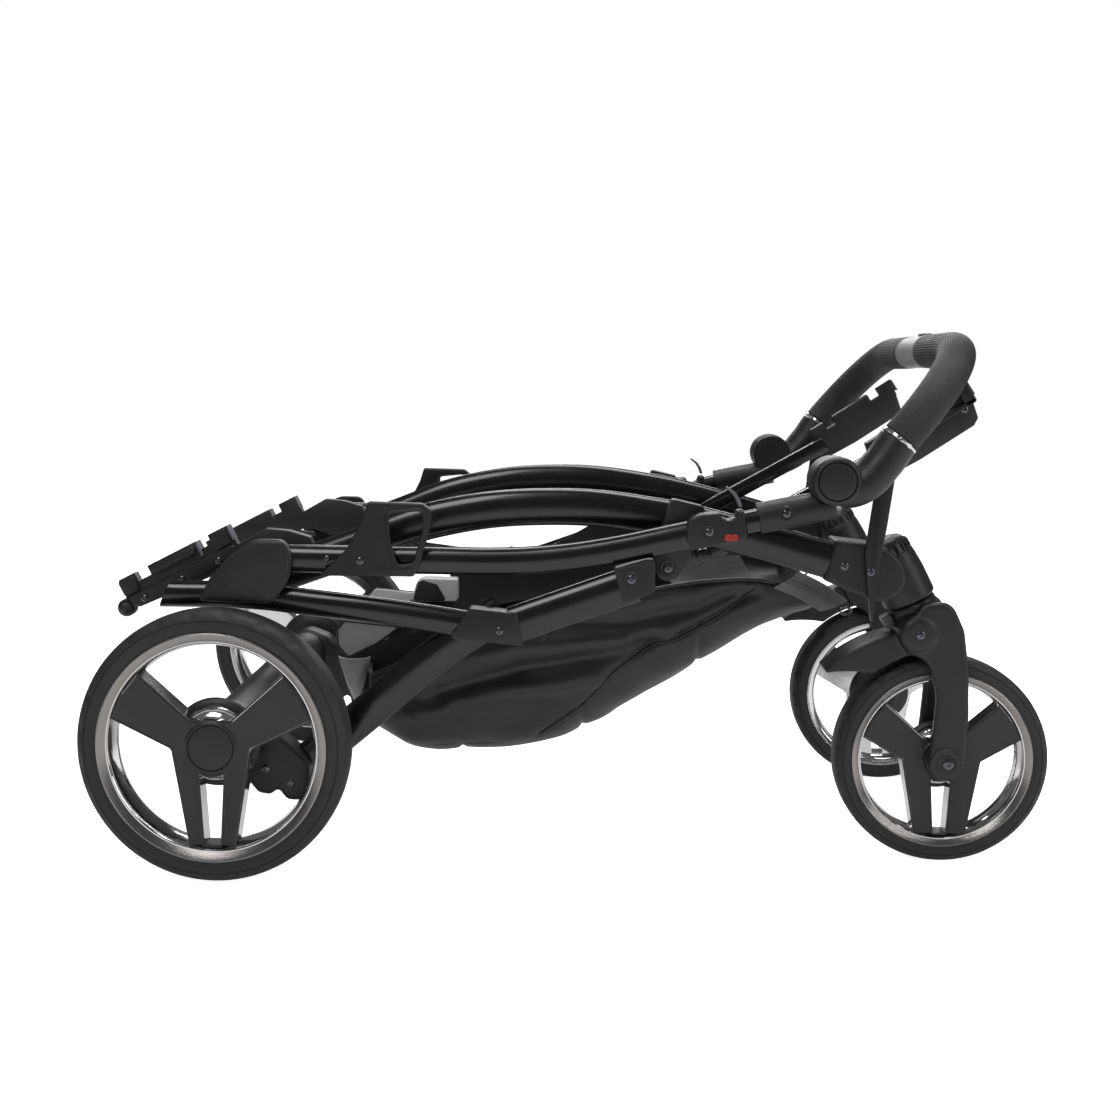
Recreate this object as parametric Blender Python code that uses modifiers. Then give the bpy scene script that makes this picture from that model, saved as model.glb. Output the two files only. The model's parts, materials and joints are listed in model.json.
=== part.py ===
"""Folded tandem pram-style chassis of a pet stroller, modelled in metres with +Z up.

The chassis stands folded on its four wheels. +X points to the front casters, +Y to the stroller's left
side, and the origin is on the ground under the middle of the bounding box. Side views are drawn with x
measured from the rear axle, and at() moves them to the origin.
"""

import math

import bmesh
import bpy
from mathutils import Matrix, Vector

# Driving dimensions.
REAR_RADIUS = 0.145
FRONT_RADIUS = 0.1145
WHEELBASE = 0.777
REAR_WHEEL_Y = 0.2741
FRONT_WHEEL_Y = 0.156
REAR_TYRE_WIDTH = 0.0434
FRONT_TYRE_WIDTH = 0.0404
REAR_AXLE_X = -(WHEELBASE + FRONT_RADIUS - REAR_RADIUS) / 2
CASTER_TILT = math.radians(26.5)

TYRE_STEPS = 40  # facets round a tyre, one of them flat on the ground

GAP = 0.0003  # between touching pieces
PIN_GAP = 0.0007  # between a pin and its bore

# Lateral planes: (inner, outer) distance from the middle plane of the chassis.
SIDE_PLANE = (0.228, 0.248)
BRACKET_PLANE = (0.2255, 0.2505)
REAR_LEG_PLANE = (0.2075, 0.2250)
FRONT_LEG_PLANE = (0.185, 0.205)
COVER_PLANE = (0.2483, 0.2615)
RECEIVER_PLANE = (0.1710, 0.1847)
ARM_PLANE = (0.1565, 0.1707)
STRUT_PLANE = (0.2068, 0.2135)

# Pivots in the side view, as (x from the rear axle, z).
HANDLE_PIVOT = (0.035, 0.3263)
REAR_LEG_PIVOT = (0.290, 0.273)
BAR_PIVOT = (0.641, 0.425)
BAR_CORNER = (0.781, 0.5585)
BAR_ROOT = (0.7035, 0.4645)
CASTER_TOP = (0.7415, 0.2885)
BRAKE_PIVOT = (0.022, 0.098)
KNUCKLE = (0.746, 0.255)  # the round shoulder of a front fork

# Wheels and casters.
AXLE_STUB = 0.006
FORK_BOLT = 0.005
TYRE_BEAD = 0.82  # shares of the tyre's radius
RIM_INSIDE = 0.735
HUB_RADIUS = 0.18
REAR_SPLIT_BLADE = (0.292, 0.170)  # half widths at the hub and at the rim
FRONT_SPLIT_BLADE = (0.365, 0.240)
CROWN_RADIUS = 0.026
HOUSING_RADIUS = 0.0285
HOUSING_HEIGHT = 0.074
FORK_INNER = (0.1215, 0.1333)
FORK_OUTER = (0.1787, 0.1905)
FORK_END_RADIUS = 0.0197
OVERRUN = 0.002  # how far a joined piece runs into its neighbour

# Push bar.
BAR_Y = 0.2465
BAR_RADIUS = 0.0195
BAR_BEND = 0.105
BAR_BEND_STEPS = 9
SLEEVE_HALF = 0.0425
CORE_RADIUS = 0.0105
RING_LENGTH = 0.004
HUB_SPLIT = 0.2383
HUB_RADIUS_OUTER = 0.0252

SIDES = (("right", -1), ("left", 1))

BLACK_PLASTIC = ((0.022, 0.022, 0.023), 0.55, 0.0)
GLOSS_BLACK = ((0.010, 0.010, 0.012), 0.12, 0.3)
RUBBER = ((0.020, 0.020, 0.020), 0.75, 0.0)
CHROME = ((0.45, 0.43, 0.42), 0.15, 1.0)
LEATHER = ((0.018, 0.018, 0.019), 0.45, 0.0)
GREY_PLASTIC = ((0.16, 0.16, 0.18), 0.4, 0.0)
RED_PLASTIC = ((0.55, 0.04, 0.03), 0.4, 0.0)

parts = None
cutters = None
materials = {}


def clear_scene():
    for obj in list(bpy.data.objects):
        bpy.data.objects.remove(obj)


def new_collection(name):
    collection = bpy.data.collections.new(name)
    bpy.context.scene.collection.children.link(collection)
    return collection


def material(look, name):
    """A Principled material of one colour, roughness and metallic value."""
    if name not in materials:
        colour, roughness, metallic = look
        made = bpy.data.materials.new(name)
        made.use_nodes = True
        shader = made.node_tree.nodes["Principled BSDF"]
        shader.inputs["Base Color"].default_value = (*colour, 1.0)
        shader.inputs["Roughness"].default_value = roughness
        shader.inputs["Metallic"].default_value = metallic
        materials[name] = made
    return materials[name]


def at(x, z):
    """The world x and z of a point that is drawn with x from the rear axle."""
    return x + REAR_AXLE_X, z


def pivot(name, x, y, z, parent=None):
    """An empty on a joint's axis. The pieces of the moving body hang on it."""
    empty = bpy.data.objects.new(name, None)
    parts.objects.link(empty)
    world_x, world_z = at(x, z)
    empty.location = (world_x, y, world_z)
    if parent:
        attach(empty, parent)
    bpy.context.view_layer.update()
    return empty


def attach(obj, parent):
    """Parents obj and keeps it where it is."""
    bpy.context.view_layer.update()
    obj.parent = parent
    obj.matrix_parent_inverse = parent.matrix_world.inverted()


def evaluated_copy(obj):
    """A mesh of obj as the viewport shows it, in world space, with loose caps welded."""
    bpy.context.view_layer.update()
    graph = bpy.context.evaluated_depsgraph_get()
    mesh = bpy.data.meshes.new_from_object(obj.evaluated_get(graph))
    mesh.transform(obj.matrix_world)
    work = bmesh.new()
    work.from_mesh(mesh)
    bmesh.ops.remove_doubles(work, verts=work.verts, dist=1e-6)
    bmesh.ops.recalc_face_normals(work, faces=work.faces)
    work.to_mesh(mesh)
    work.free()
    return mesh


def as_mesh(obj):
    """Replaces a curve, or an object with modifiers, by a plain mesh object in world space."""
    mesh = evaluated_copy(obj)
    name = obj.name
    bpy.data.objects.remove(obj)
    made = bpy.data.objects.new(name, mesh)
    parts.objects.link(made)
    return made


def combine(base, others, operation):
    """Joins the others to base, or cuts them from it, and returns base as a plain mesh."""
    for other in others:
        cutters.objects.link(other)
        if other.name in parts.objects:
            parts.objects.unlink(other)
        boolean = base.modifiers.new("boolean", "BOOLEAN")
        boolean.operation = operation
        boolean.object = other
    made = as_mesh(base)
    for other in others:
        bpy.data.objects.remove(other)
    return made


def finish(obj, name, look, parent=None, smooth_angle=40):
    """Names a piece, gives it its material and shading, and hangs it on its pivot."""
    obj.name = name
    obj.data.name = name
    obj.data.materials.clear()
    obj.data.materials.append(material(look, name))
    if obj.type == "MESH":
        obj.data.shade_smooth()
        obj.data.set_sharp_from_angle(angle=math.radians(smooth_angle))
    if parent:
        attach(obj, parent)
    return obj


def rounded(corners, radius, steps=2):
    """The outline through the corners, each rounded by an arc. A corner may give its own radius."""
    outline = []
    count = len(corners)
    for i, corner in enumerate(corners):
        here = Vector(corner[:2])
        before = Vector(corners[i - 1][:2]) - here
        after = Vector(corners[(i + 1) % count][:2]) - here
        own = corner[2] if len(corner) > 2 else radius
        if own <= 0:
            outline.append(tuple(here))
            continue
        half = before.angle(after) / 2
        reach = min(own / math.tan(half), 0.45 * before.length, 0.45 * after.length)
        own = reach * math.tan(half)
        middle = here + (before.normalized() + after.normalized()).normalized() * own / math.sin(half)
        start = here + before.normalized() * reach - middle
        end = here + after.normalized() * reach - middle
        turn = start.angle_signed(end)
        for step in range(steps + 1):
            arm = start.copy()
            arm.rotate(Matrix.Rotation(-turn * step / steps, 2))
            outline.append(tuple(middle + arm))
    return outline


def circle(x, z, radius, count=16):
    step = 2 * math.pi / count
    return [(x + radius * math.cos(step * i), z + radius * math.sin(step * i)) for i in range(count)]


def plate(outlines, plane, side=1):
    """A flat piece: a side-view outline, with any holes after it, between two lateral planes."""
    curve = bpy.data.curves.new("plate", "CURVE")
    curve.dimensions = "2D"
    curve.fill_mode = "BOTH"
    curve.extrude = (plane[1] - plane[0]) / 2
    for outline in outlines:
        spline = curve.splines.new("POLY")
        spline.points.add(len(outline) - 1)
        for point, (x, z) in zip(spline.points, outline):
            point.co = (*at(x, z), 0, 1)
        spline.use_cyclic_u = True
    obj = bpy.data.objects.new("plate", curve)
    parts.objects.link(obj)
    obj.rotation_euler = (math.pi / 2, 0, 0)
    obj.location.y = side * (plane[0] + plane[1]) / 2
    return as_mesh(obj)


def bevelled(obj, width, segments=1):
    """Rounds the sharp edges of a plain mesh."""
    modifier = obj.modifiers.new("bevel", "BEVEL")
    modifier.width = width
    modifier.segments = segments
    modifier.limit_method = "ANGLE"
    modifier.angle_limit = math.radians(50)
    return obj


def disc(x, z, radius, near, far, side=1, count=24):
    """A cylinder across the chassis, between two lateral distances on one side."""
    return plate([circle(x, z, radius, count)], (near, far), side)


def oval_tube(path, plane, height, side=1, resolution=4):
    """A smooth tube through side-view points. Its section is an ellipse as wide as the plane."""
    curve = bpy.data.curves.new("tube", "CURVE")
    curve.dimensions = "3D"
    curve.bevel_depth = height / 2
    curve.bevel_resolution = 3
    curve.resolution_u = resolution
    curve.use_fill_caps = True
    spline = curve.splines.new("BEZIER")
    spline.bezier_points.add(len(path) - 1)
    for point, (x, z) in zip(spline.bezier_points, path):
        world_x, world_z = at(x, z)
        point.co = (world_x, 0, world_z)
        point.handle_left_type = "AUTO"
        point.handle_right_type = "AUTO"
    obj = bpy.data.objects.new("tube", curve)
    parts.objects.link(obj)
    obj.location.y = side * (plane[0] + plane[1]) / 2
    obj.scale.y = (plane[1] - plane[0]) / height
    return as_mesh(obj)


def round_tube(points, radius, sides_resolution=3):
    """A round tube through world points."""
    curve = bpy.data.curves.new("tube", "CURVE")
    curve.dimensions = "3D"
    curve.bevel_depth = radius
    curve.bevel_resolution = sides_resolution
    curve.use_fill_caps = True
    spline = curve.splines.new("POLY")
    spline.points.add(len(points) - 1)
    for point, place in zip(spline.points, points):
        point.co = (*place, 1)
    obj = bpy.data.objects.new("tube", curve)
    parts.objects.link(obj)
    return as_mesh(obj)


def turned(profile, x, y, z, side, steps=TYRE_STEPS):
    """A closed profile of (radius, offset outwards) turned about a lateral axis.

    The profile runs inwards along its outer side. Half a step of twist puts a facet, not a corner, at
    the bottom.
    """
    mesh = bpy.data.meshes.new("turned")
    count = len(profile)
    edges = [(i, (i + 1) % count) for i in range(count)]
    mesh.from_pydata([(radius, 0, offset) for radius, offset in profile], edges, [])
    obj = bpy.data.objects.new("turned", mesh)
    parts.objects.link(obj)
    screw = obj.modifiers.new("screw", "SCREW")
    screw.steps = steps
    screw.render_steps = steps
    screw.use_merge_vertices = True
    screw.merge_threshold = 1e-5
    world_x, world_z = at(x, z)
    obj.matrix_world = (
        Matrix.Translation((world_x, y, world_z))
        @ Matrix.Scale(-side, 4, (0, 1, 0))
        @ Matrix.Rotation(math.pi / 2, 4, "X")
        @ Matrix.Rotation(math.pi / steps, 4, "Z")
    )
    return as_mesh(obj)


# ---------------------------------------------------------------- wheels


def tyre(name, x, y, side, radius, width, parent):
    """A solid tyre with a flat tread and rounded shoulders."""
    half = width / 2
    bead = TYRE_BEAD * radius
    corner = radius / math.cos(math.pi / TYRE_STEPS)
    profile = [
        (bead, 0.88 * half),
        (0.915 * corner, half),
        (0.975 * corner, 0.78 * half),
        (corner, 0.42 * half),
        (corner, -0.42 * half),
        (0.975 * corner, -0.78 * half),
        (0.915 * corner, -half),
        (bead, -0.88 * half),
    ]
    return finish(turned(profile, x, y, radius, side), name, RUBBER, parent)


def spoke_star(x, y, side, size, split_blade, plane):
    """Two solid blades above and one split blade below, as one flat star. Size is the tyre's radius."""
    shoulder, foot = split_blade
    reach = 0.755
    upper, lower = math.radians(45.5), math.radians(15.5)
    half = [
        (0.161, 0.186),
        (reach * math.cos(upper), reach * math.sin(upper)),
        (reach * math.cos(lower), reach * math.sin(lower)),
        (shoulder, -0.014),
        (foot, -0.735),
    ]
    star = half + [(-a, b) for a, b in reversed(half)]
    slot = [(0.093, -0.197), (-0.093, -0.197), (-0.060, -0.725), (0.060, -0.725)]
    outlines = [[(x + a * size, size + b * size) for a, b in outline] for outline in (star, slot)]
    return plate(outlines, (y + plane[0], y + plane[1]), side)


def wheel(name, x, y, side, radius, width, split_blade, bore, bore_depth, parent):
    """Rim, spokes and hub in one moulding, bored from the inner side to a depth past its middle."""
    half = width / 2
    seat = TYRE_BEAD * radius - GAP
    inside = RIM_INSIDE * radius
    lip = inside + 0.01 * radius
    profile = [
        (seat, 0.86 * half),
        (seat, -0.86 * half),
        (lip, -0.86 * half),
        (inside, -0.55 * half),
        (inside, 0.55 * half),
        (lip, 0.86 * half),
    ]
    rim = turned(profile, x, y * side, radius, side)
    star = spoke_star(x, y, side, radius, split_blade, (0.15 * half, 0.72 * half))
    hub = disc(x, radius, HUB_RADIUS * radius, y - 0.95 * half, y + 0.80 * half, side)
    made = combine(rim, [star, hub], "UNION")
    hole = disc(x, radius, bore + PIN_GAP, y - half, y + bore_depth, side, 16)
    made = combine(made, [hole], "DIFFERENCE")
    return finish(made, name, BLACK_PLASTIC, parent)


def rear_wheels(legs):
    """The two big wheels, each on its own stub axle."""
    for label, side in SIDES:
        spin = pivot("rear_spin_" + label, 0, side * REAR_WHEEL_Y, REAR_RADIUS, legs)
        tyre("rear_tyre_" + label, 0, side * REAR_WHEEL_Y, side, REAR_RADIUS, REAR_TYRE_WIDTH, spin)
        size = (REAR_RADIUS, REAR_TYRE_WIDTH)
        blind = 0.2 * REAR_TYRE_WIDTH
        name = "rear_wheel_" + label
        wheel(name, 0, REAR_WHEEL_Y, side, *size, REAR_SPLIT_BLADE, AXLE_STUB, blind, spin)


# ---------------------------------------------------------------- front casters


def along_caster(distance, across):
    """A side-view point at a distance up the caster axis from the housing's mouth, and across it."""
    x, z = CASTER_TOP
    sin, cos = math.sin(CASTER_TILT), math.cos(CASTER_TILT)
    return x - distance * sin + across * cos, z + distance * cos + across * sin


def caster_post(low, high, radius, side):
    """A cylinder on the caster axis, from low to high above the housing's mouth."""
    bpy.ops.mesh.primitive_cylinder_add(vertices=20, radius=radius, depth=high - low)
    obj = bpy.context.object
    for collection in list(obj.users_collection):
        collection.objects.unlink(obj)
    parts.objects.link(obj)
    world_x, world_z = at(*along_caster((low + high) / 2, 0))
    obj.rotation_euler = (0, -CASTER_TILT, 0)
    obj.location = (world_x, side * FRONT_WHEEL_Y, world_z)
    return as_mesh(obj)


def fork_leg(plane, side):
    """One fork blade, from the shoulder by the crown to the round end at the axle."""
    end_x, end_z, end_radius = WHEELBASE + 0.002, FRONT_RADIUS, FORK_END_RADIUS
    outline = [
        (0.733, 0.284, 0.006),
        (0.779, 0.291, 0.020),
        (0.796, 0.236, 0.03),
        (0.801, 0.180, 0.05),
        (end_x + end_radius, end_z, 0.02),
        (end_x + 0.6 * end_radius, end_z - end_radius, 0.02),
        (end_x - 0.6 * end_radius, end_z - end_radius, 0.02),
        (end_x - end_radius, end_z, 0.02),
        (0.764, 0.150, 0.03),
        (0.762, 0.195, 0.03),
        (0.747, 0.228, 0.02),
        (0.722, 0.233, 0.008),
        (0.712, 0.262, 0.01),
    ]
    return plate([rounded(outline, 0.005, 3)], plane, side)


def mudguard(side):
    """The curved guard behind the fork's shoulder, concentric with the tyre."""
    centre = (WHEELBASE, FRONT_RADIUS)
    low, high = math.radians(108), math.radians(143)
    steps = 6
    inner = []
    outer = []
    for step in range(steps + 1):
        share = step / steps
        angle = low + (high - low) * share
        inside = FRONT_RADIUS + 0.008 + 0.036 * max(0, share - 0.6) / 0.4
        outside = FRONT_RADIUS + 0.034 + 0.013 * share
        inner.append((centre[0] + inside * math.cos(angle), centre[1] + inside * math.sin(angle)))
        outer.append((centre[0] + outside * math.cos(angle), centre[1] + outside * math.sin(angle)))
    return plate([outer + inner[::-1]], (FORK_INNER[1] - OVERRUN, FORK_OUTER[0] + OVERRUN), side)


def front_fork(label, side, swivel):
    """The swivelling fork: crown, shoulder, two legs, mudguard and the wheel's bolt, in one piece."""
    across = (FORK_INNER[0] + OVERRUN, FORK_OUTER[1] - OVERRUN)
    crown = caster_post(-0.030, -2 * GAP, CROWN_RADIUS, side)
    shoulder = disc(*KNUCKLE, 0.021, *across, side)
    legs = [fork_leg(FORK_INNER, side), fork_leg(FORK_OUTER, side)]
    bolt = disc(WHEELBASE, FRONT_RADIUS, FORK_BOLT, across[0], FORK_OUTER[1] + 0.003, side, 16)
    fork = combine(crown, [shoulder, *legs, mudguard(side), bolt], "UNION")
    finish(fork, "front_fork_" + label, BLACK_PLASTIC, swivel)


def swivel_lock(label, side, swivel):
    """The sliding nib on the crown that holds the caster straight."""
    corners = [(-0.018, -0.0263), (-0.004, -0.0263), (-0.004, -0.038), (-0.018, -0.036)]
    outline = rounded([along_caster(*corner) for corner in corners], 0.002)
    lock = plate([outline], (FRONT_WHEEL_Y - 0.008, FRONT_WHEEL_Y + 0.008), side)
    finish(lock, "swivel_lock_" + label, GREY_PLASTIC, swivel)


def front_casters():
    for label, side in SIDES:
        y = side * FRONT_WHEEL_Y
        swivel = pivot("caster_" + label, CASTER_TOP[0], y, CASTER_TOP[1])
        front_fork(label, side, swivel)
        spin = pivot("front_spin_" + label, WHEELBASE, y, FRONT_RADIUS, swivel)
        tyre("front_tyre_" + label, WHEELBASE, y, side, FRONT_RADIUS, FRONT_TYRE_WIDTH, spin)
        size = (FRONT_RADIUS, FRONT_TYRE_WIDTH)
        through = FRONT_TYRE_WIDTH / 2
        name = "front_wheel_" + label
        wheel(name, WHEELBASE, FRONT_WHEEL_Y, side, *size, FRONT_SPLIT_BLADE, FORK_BOLT, through, spin)
        swivel_lock(label, side, swivel)


def caster_housings():
    """The barrel that holds each caster's stem, with the sleeve that takes the bowed tube."""
    for label, side in SIDES:
        barrel = caster_post(0, HOUSING_HEIGHT, HOUSING_RADIUS, side)
        sleeve_outline = [
            (0.6508, 0.359, 0.003),
            (0.700, 0.352, 0.01),
            (0.742, 0.345, 0.01),
            (0.740, 0.300, 0.01),
            (0.700, 0.292, 0.01),
            (0.640, 0.3155, 0.003),
        ]
        sleeve = plate([rounded(sleeve_outline, 0.004)], (0.160, 0.2065), side)
        housing = combine(barrel, [sleeve], "UNION")
        finish(housing, "caster_housing_" + label, BLACK_PLASTIC)


def front_cross_tube():
    """The tube that ties the two caster housings together."""
    reach = FRONT_WHEEL_Y - HOUSING_RADIUS - GAP
    x, z = at(0.715, 0.312)
    bar = round_tube([(x, -reach, z), (x, reach, z)], 0.010)
    finish(bar, "front_cross_tube", GLOSS_BLACK)


# ---------------------------------------------------------------- main frame


def front_legs():
    """The long bowed tube from the fold knuckle to the caster housing, with the knuckle's boss."""
    path = [
        (0.022, 0.303),
        (0.128, 0.341),
        (0.226, 0.376),
        (0.354, 0.391),
        (0.472, 0.380),
        (0.560, 0.360),
        (0.6445, 0.3365),
    ]
    for label, side in SIDES:
        tube = oval_tube(path, FRONT_LEG_PLANE, 0.040, side, 5)
        boss = disc(*HANDLE_PIVOT, 0.0143, FRONT_LEG_PLANE[0] + 0.004, SIDE_PLANE[1] - GAP, side, 20)
        tube = combine(tube, [boss], "UNION")
        finish(tube, "front_leg_" + label, GLOSS_BLACK)


def leg_sleeves():
    """The bracket on the bowed tube's outer side whose lug carries the brace."""
    outline = [
        (0.478, 0.403, 0.003),
        (0.510, 0.3955, 0.003),
        (0.516, 0.386, 0.003),
        (0.498, 0.341, 0.006),
        (0.484, 0.316, 0.012),
        (0.463, 0.316, 0.012),
        (0.461, 0.345, 0.003),
    ]
    plane = (FRONT_LEG_PLANE[1] + GAP, BRACKET_PLANE[0] - GAP)
    for label, side in SIDES:
        sleeve = plate([rounded(outline, 0.003)], plane, side)
        finish(sleeve, "leg_sleeve_" + label, BLACK_PLASTIC)


def lower_tubes():
    """The tube from the fold knuckle to the elbow, with its oblique rear end."""
    path = [
        (-0.075, 0.299),
        (0.040, 0.297),
        (0.096, 0.291),
        (0.160, 0.284),
        (0.214, 0.277),
        (0.2525, 0.2712),
    ]
    end = [(-0.10, 0.33), (-0.0455, 0.33), (-0.0735, 0.27), (-0.10, 0.27)]
    for label, side in SIDES:
        tube = oval_tube(path, SIDE_PLANE, 0.029, side)
        oblique = plate([end], (0.22, 0.26), side)
        tube = combine(tube, [oblique], "DIFFERENCE")
        finish(tube, "lower_tube_" + label, GLOSS_BLACK)


def elbow_brackets():
    """The bracket that joins the lower tube to the brace, and that the rear leg turns on."""
    outline = [(0.2675, 0.2885), (0.318, 0.2835), (0.324, 0.249), (0.246, 0.2565)]
    for label, side in SIDES:
        bracket = plate([rounded(outline, 0.003)], BRACKET_PLANE, side)
        clear_tube = oval_tube(
            [(0.20, 0.279), (0.2525 + GAP, 0.2712)], (SIDE_PLANE[0] - GAP, SIDE_PLANE[1] + GAP), 0.0296, side
        )
        bracket = combine(bracket, [clear_tube], "DIFFERENCE")
        finish(bracket, "elbow_bracket_" + label, BLACK_PLASTIC)


def brace_tubes():
    """The tube from the elbow up to the lug, with its moulded end bracket."""
    end = [
        (0.4175, 0.331),
        (0.451, 0.3405),
        (0.4605, 0.3405, 0.002),
        (0.4605, 0.308),
        (0.428, 0.2955),
    ]
    for label, side in SIDES:
        tube = oval_tube([(0.3245, 0.2735), (0.38, 0.2935), (0.440, 0.315)], SIDE_PLANE, 0.040, side)
        bracket = plate([rounded(end, 0.002)], BRACKET_PLANE, side)
        tube = combine(tube, [bracket], "UNION")
        finish(tube, "brace_tube_" + label, GLOSS_BLACK)


# ---------------------------------------------------------------- cabin receivers


def receiver_outline(origin, slope, length, blocks, notch_depth):
    """A receiver's notched top edge, as side-view points along a sloping line."""
    cos, sin = math.cos(slope), math.sin(slope)

    def place(along, up):
        return origin[0] + along * cos - up * sin, origin[1] + along * sin + up * cos

    points = []
    for start, end in blocks:
        points += [place(start * length, -notch_depth), place(start * length, 0)]
        points += [place(end * length, 0), place(end * length, -notch_depth)]
    return points[1:-1], place


REAR_RECEIVER = ((-0.131, 0.3035), math.radians(27), 0.1405)
FRONT_RECEIVER = ((0.6845, 0.4595), math.radians(33), 0.1215)
NOTCH_DEPTH = 0.0105
RECEIVER_BLOCKS = ((0.0, 0.15), (0.265, 0.70), (0.815, 1.0))


def rear_receivers():
    """The notched plate over each rear wheel that a cabin clips onto, with its rail and end knob."""
    origin, slope, length = REAR_RECEIVER
    top, place = receiver_outline(origin, slope, length, RECEIVER_BLOCKS, NOTCH_DEPTH)
    under = [
        place(length, -0.024),
        (0.036, 0.3635),
        (0.062, 0.3615),
        (0.086, 0.3545),
        (0.098, 0.3280),
        (0.050, 0.3120),
        (0.020, 0.3230),
        place(0.93 * length, -0.045),
        place(0.06 * length, -0.037),
        place(-0.01 * length, -0.028),
    ]
    for label, side in SIDES:
        receiver = plate([top + under], RECEIVER_PLANE, side)
        knob = disc(-0.1225, 0.2730, 0.010, *RECEIVER_PLANE, side, 20)
        receiver = combine(receiver, [knob], "UNION")
        finish(receiver, "rear_receiver_" + label, BLACK_PLASTIC)


def front_receivers():
    """The notched plate by the push bar that a cabin clips onto."""
    origin, slope, length = FRONT_RECEIVER
    top, place = receiver_outline(origin, slope, length, RECEIVER_BLOCKS, NOTCH_DEPTH)
    under = [(0.800, 0.487), (0.796, 0.479), (0.742, 0.443), (0.707, 0.423), (0.694, 0.432)]
    for label, side in SIDES:
        receiver = plate([top + under], RECEIVER_PLANE, side)
        finish(receiver, "front_receiver_" + label, BLACK_PLASTIC)


def receiver_arms():
    """The long arm from the bowed tube, and the strut from the caster housing, that hold the front one."""
    arm = [(0.492, 0.3345, 0.004), (0.698, 0.4505, 0.004), (0.707, 0.4345, 0.004), (0.501, 0.3185, 0.004)]
    strut = [
        (0.694, 0.444, 0.003),
        (0.712, 0.444, 0.003),
        (0.703, 0.375, 0),
        (0.6935, 0.318, 0.003),
        (0.6905, 0.262, 0.001),
        (0.684, 0.312, 0.003),
        (0.681, 0.345, 0),
    ]
    for label, side in SIDES:
        bar = plate([rounded(arm, 0.003)], ARM_PLANE, side)
        boss = disc(0.516, 0.3378, 0.008, ARM_PLANE[0] + 0.002, FRONT_LEG_PLANE[0] - GAP, side, 16)
        bar = combine(bar, [boss], "UNION")
        finish(bar, "receiver_arm_" + label, GLOSS_BLACK)
        lever = plate([rounded(strut, 0.003)], STRUT_PLANE, side)
        boss = disc(0.702, 0.4365, 0.006, RECEIVER_PLANE[1] + GAP, STRUT_PLANE[1] - 0.002, side, 16)
        lever = combine(lever, [boss], "UNION")
        finish(lever, "receiver_strut_" + label, BLACK_PLASTIC)


# ---------------------------------------------------------------- basket


BASKET_WALL = 0.004
# Stations from back to front: x from the rear axle, rim height, floor height, half width.
BASKET_STATIONS = (
    (0.150, 0.196, 0.112, 0.160),
    (0.180, 0.210, 0.090, 0.168),
    (0.255, 0.240, 0.088, 0.172),
    (0.330, 0.262, 0.094, 0.172),
    (0.400, 0.281, 0.120, 0.170),
    (0.470, 0.298, 0.160, 0.160),
    (0.530, 0.306, 0.200, 0.155),
    (0.585, 0.306, 0.232, 0.150),
    (0.640, 0.288, 0.258, 0.140),
)


def basket():
    """An open tub of soft sheet that hangs between the side frames."""
    work = bmesh.new()
    rows = []
    for x, rim, floor, half in BASKET_STATIONS:
        depth = rim - floor
        section = [
            (half, rim),
            (half, rim - 0.55 * depth),
            (0.90 * half, floor + 0.10 * depth),
            (0.62 * half, floor),
        ]
        section += [(-y, z) for y, z in reversed(section)]
        rows.append([work.verts.new((x + REAR_AXLE_X, y, z)) for y, z in section])
    for near, far in zip(rows, rows[1:]):
        for i in range(len(near) - 1):
            work.faces.new((near[i], near[i + 1], far[i + 1], far[i]))
    work.faces.new(rows[0])
    work.faces.new(rows[-1])
    bmesh.ops.recalc_face_normals(work, faces=work.faces)
    mesh = bpy.data.meshes.new("basket")
    work.to_mesh(mesh)
    work.free()
    obj = bpy.data.objects.new("basket", mesh)
    parts.objects.link(obj)
    wall = obj.modifiers.new("wall", "SOLIDIFY")
    wall.thickness = BASKET_WALL
    wall.offset = -1
    finish(as_mesh(obj), "basket", LEATHER)


# ---------------------------------------------------------------- rear legs, axle and brake


def rear_legs():
    """The two legs that fold forward with the rear axle. Returns the pivot that they turn on."""
    legs = pivot("rear_leg_axis", REAR_LEG_PIVOT[0], 0, REAR_LEG_PIVOT[1])
    path = [(0.0905, 0.1145), (0.1485, 0.163), (0.2355, 0.236), (0.299, 0.280)]
    for label, side in SIDES:
        tube = oval_tube(path, REAR_LEG_PLANE, 0.040, side)
        finish(tube, "rear_leg_" + label, GLOSS_BLACK, legs)
    return legs


def rear_axle_beam(legs):
    """Cross tube, the two lobed hub carriers and the stub axles, in one welded piece."""
    carrier = [
        (-0.024, 0.162, 0.02),
        (0.000, 0.180, 0.02),
        (0.030, 0.168, 0.01),
        (0.074, 0.133, 0.008),
        (0.0895, 0.112, 0.006),
        (0.088, 0.084, 0.01),
        (0.080, 0.068, 0.01),
        (0.066, 0.070, 0.006),
        (0.050, 0.086, 0.004),
        (0.030, 0.094, 0.004),
        (0.000, 0.110, 0.02),
        (-0.030, 0.135, 0.02),
    ]
    x, z = at(0, REAR_RADIUS)
    beam = round_tube([(x, -0.235, z), (x, 0.235, z)], 0.028, 6)
    pieces = []
    for side in (-1, 1):
        pieces.append(plate([rounded(carrier, 0.005)], (0.205, 0.236), side))
        pieces.append(disc(0, REAR_RADIUS, AXLE_STUB, 0.230, REAR_WHEEL_Y + 0.006, side, 16))
    beam = combine(beam, pieces, "UNION")
    finish(beam, "rear_axle_beam", BLACK_PLASTIC, legs)


def brake_pedal(legs):
    """The foot pedal on the right hub carrier."""
    hinge = pivot("brake_axis", BRAKE_PIVOT[0], -0.19, BRAKE_PIVOT[1], legs)
    outline = [(0.014, 0.104), (0.026, 0.106), (0.052, 0.090), (0.047, 0.076), (0.018, 0.090)]
    pedal = plate([rounded(outline, 0.003)], (0.165, 0.2035), -1)
    finish(pedal, "brake_pedal", BLACK_PLASTIC, hinge)


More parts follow.
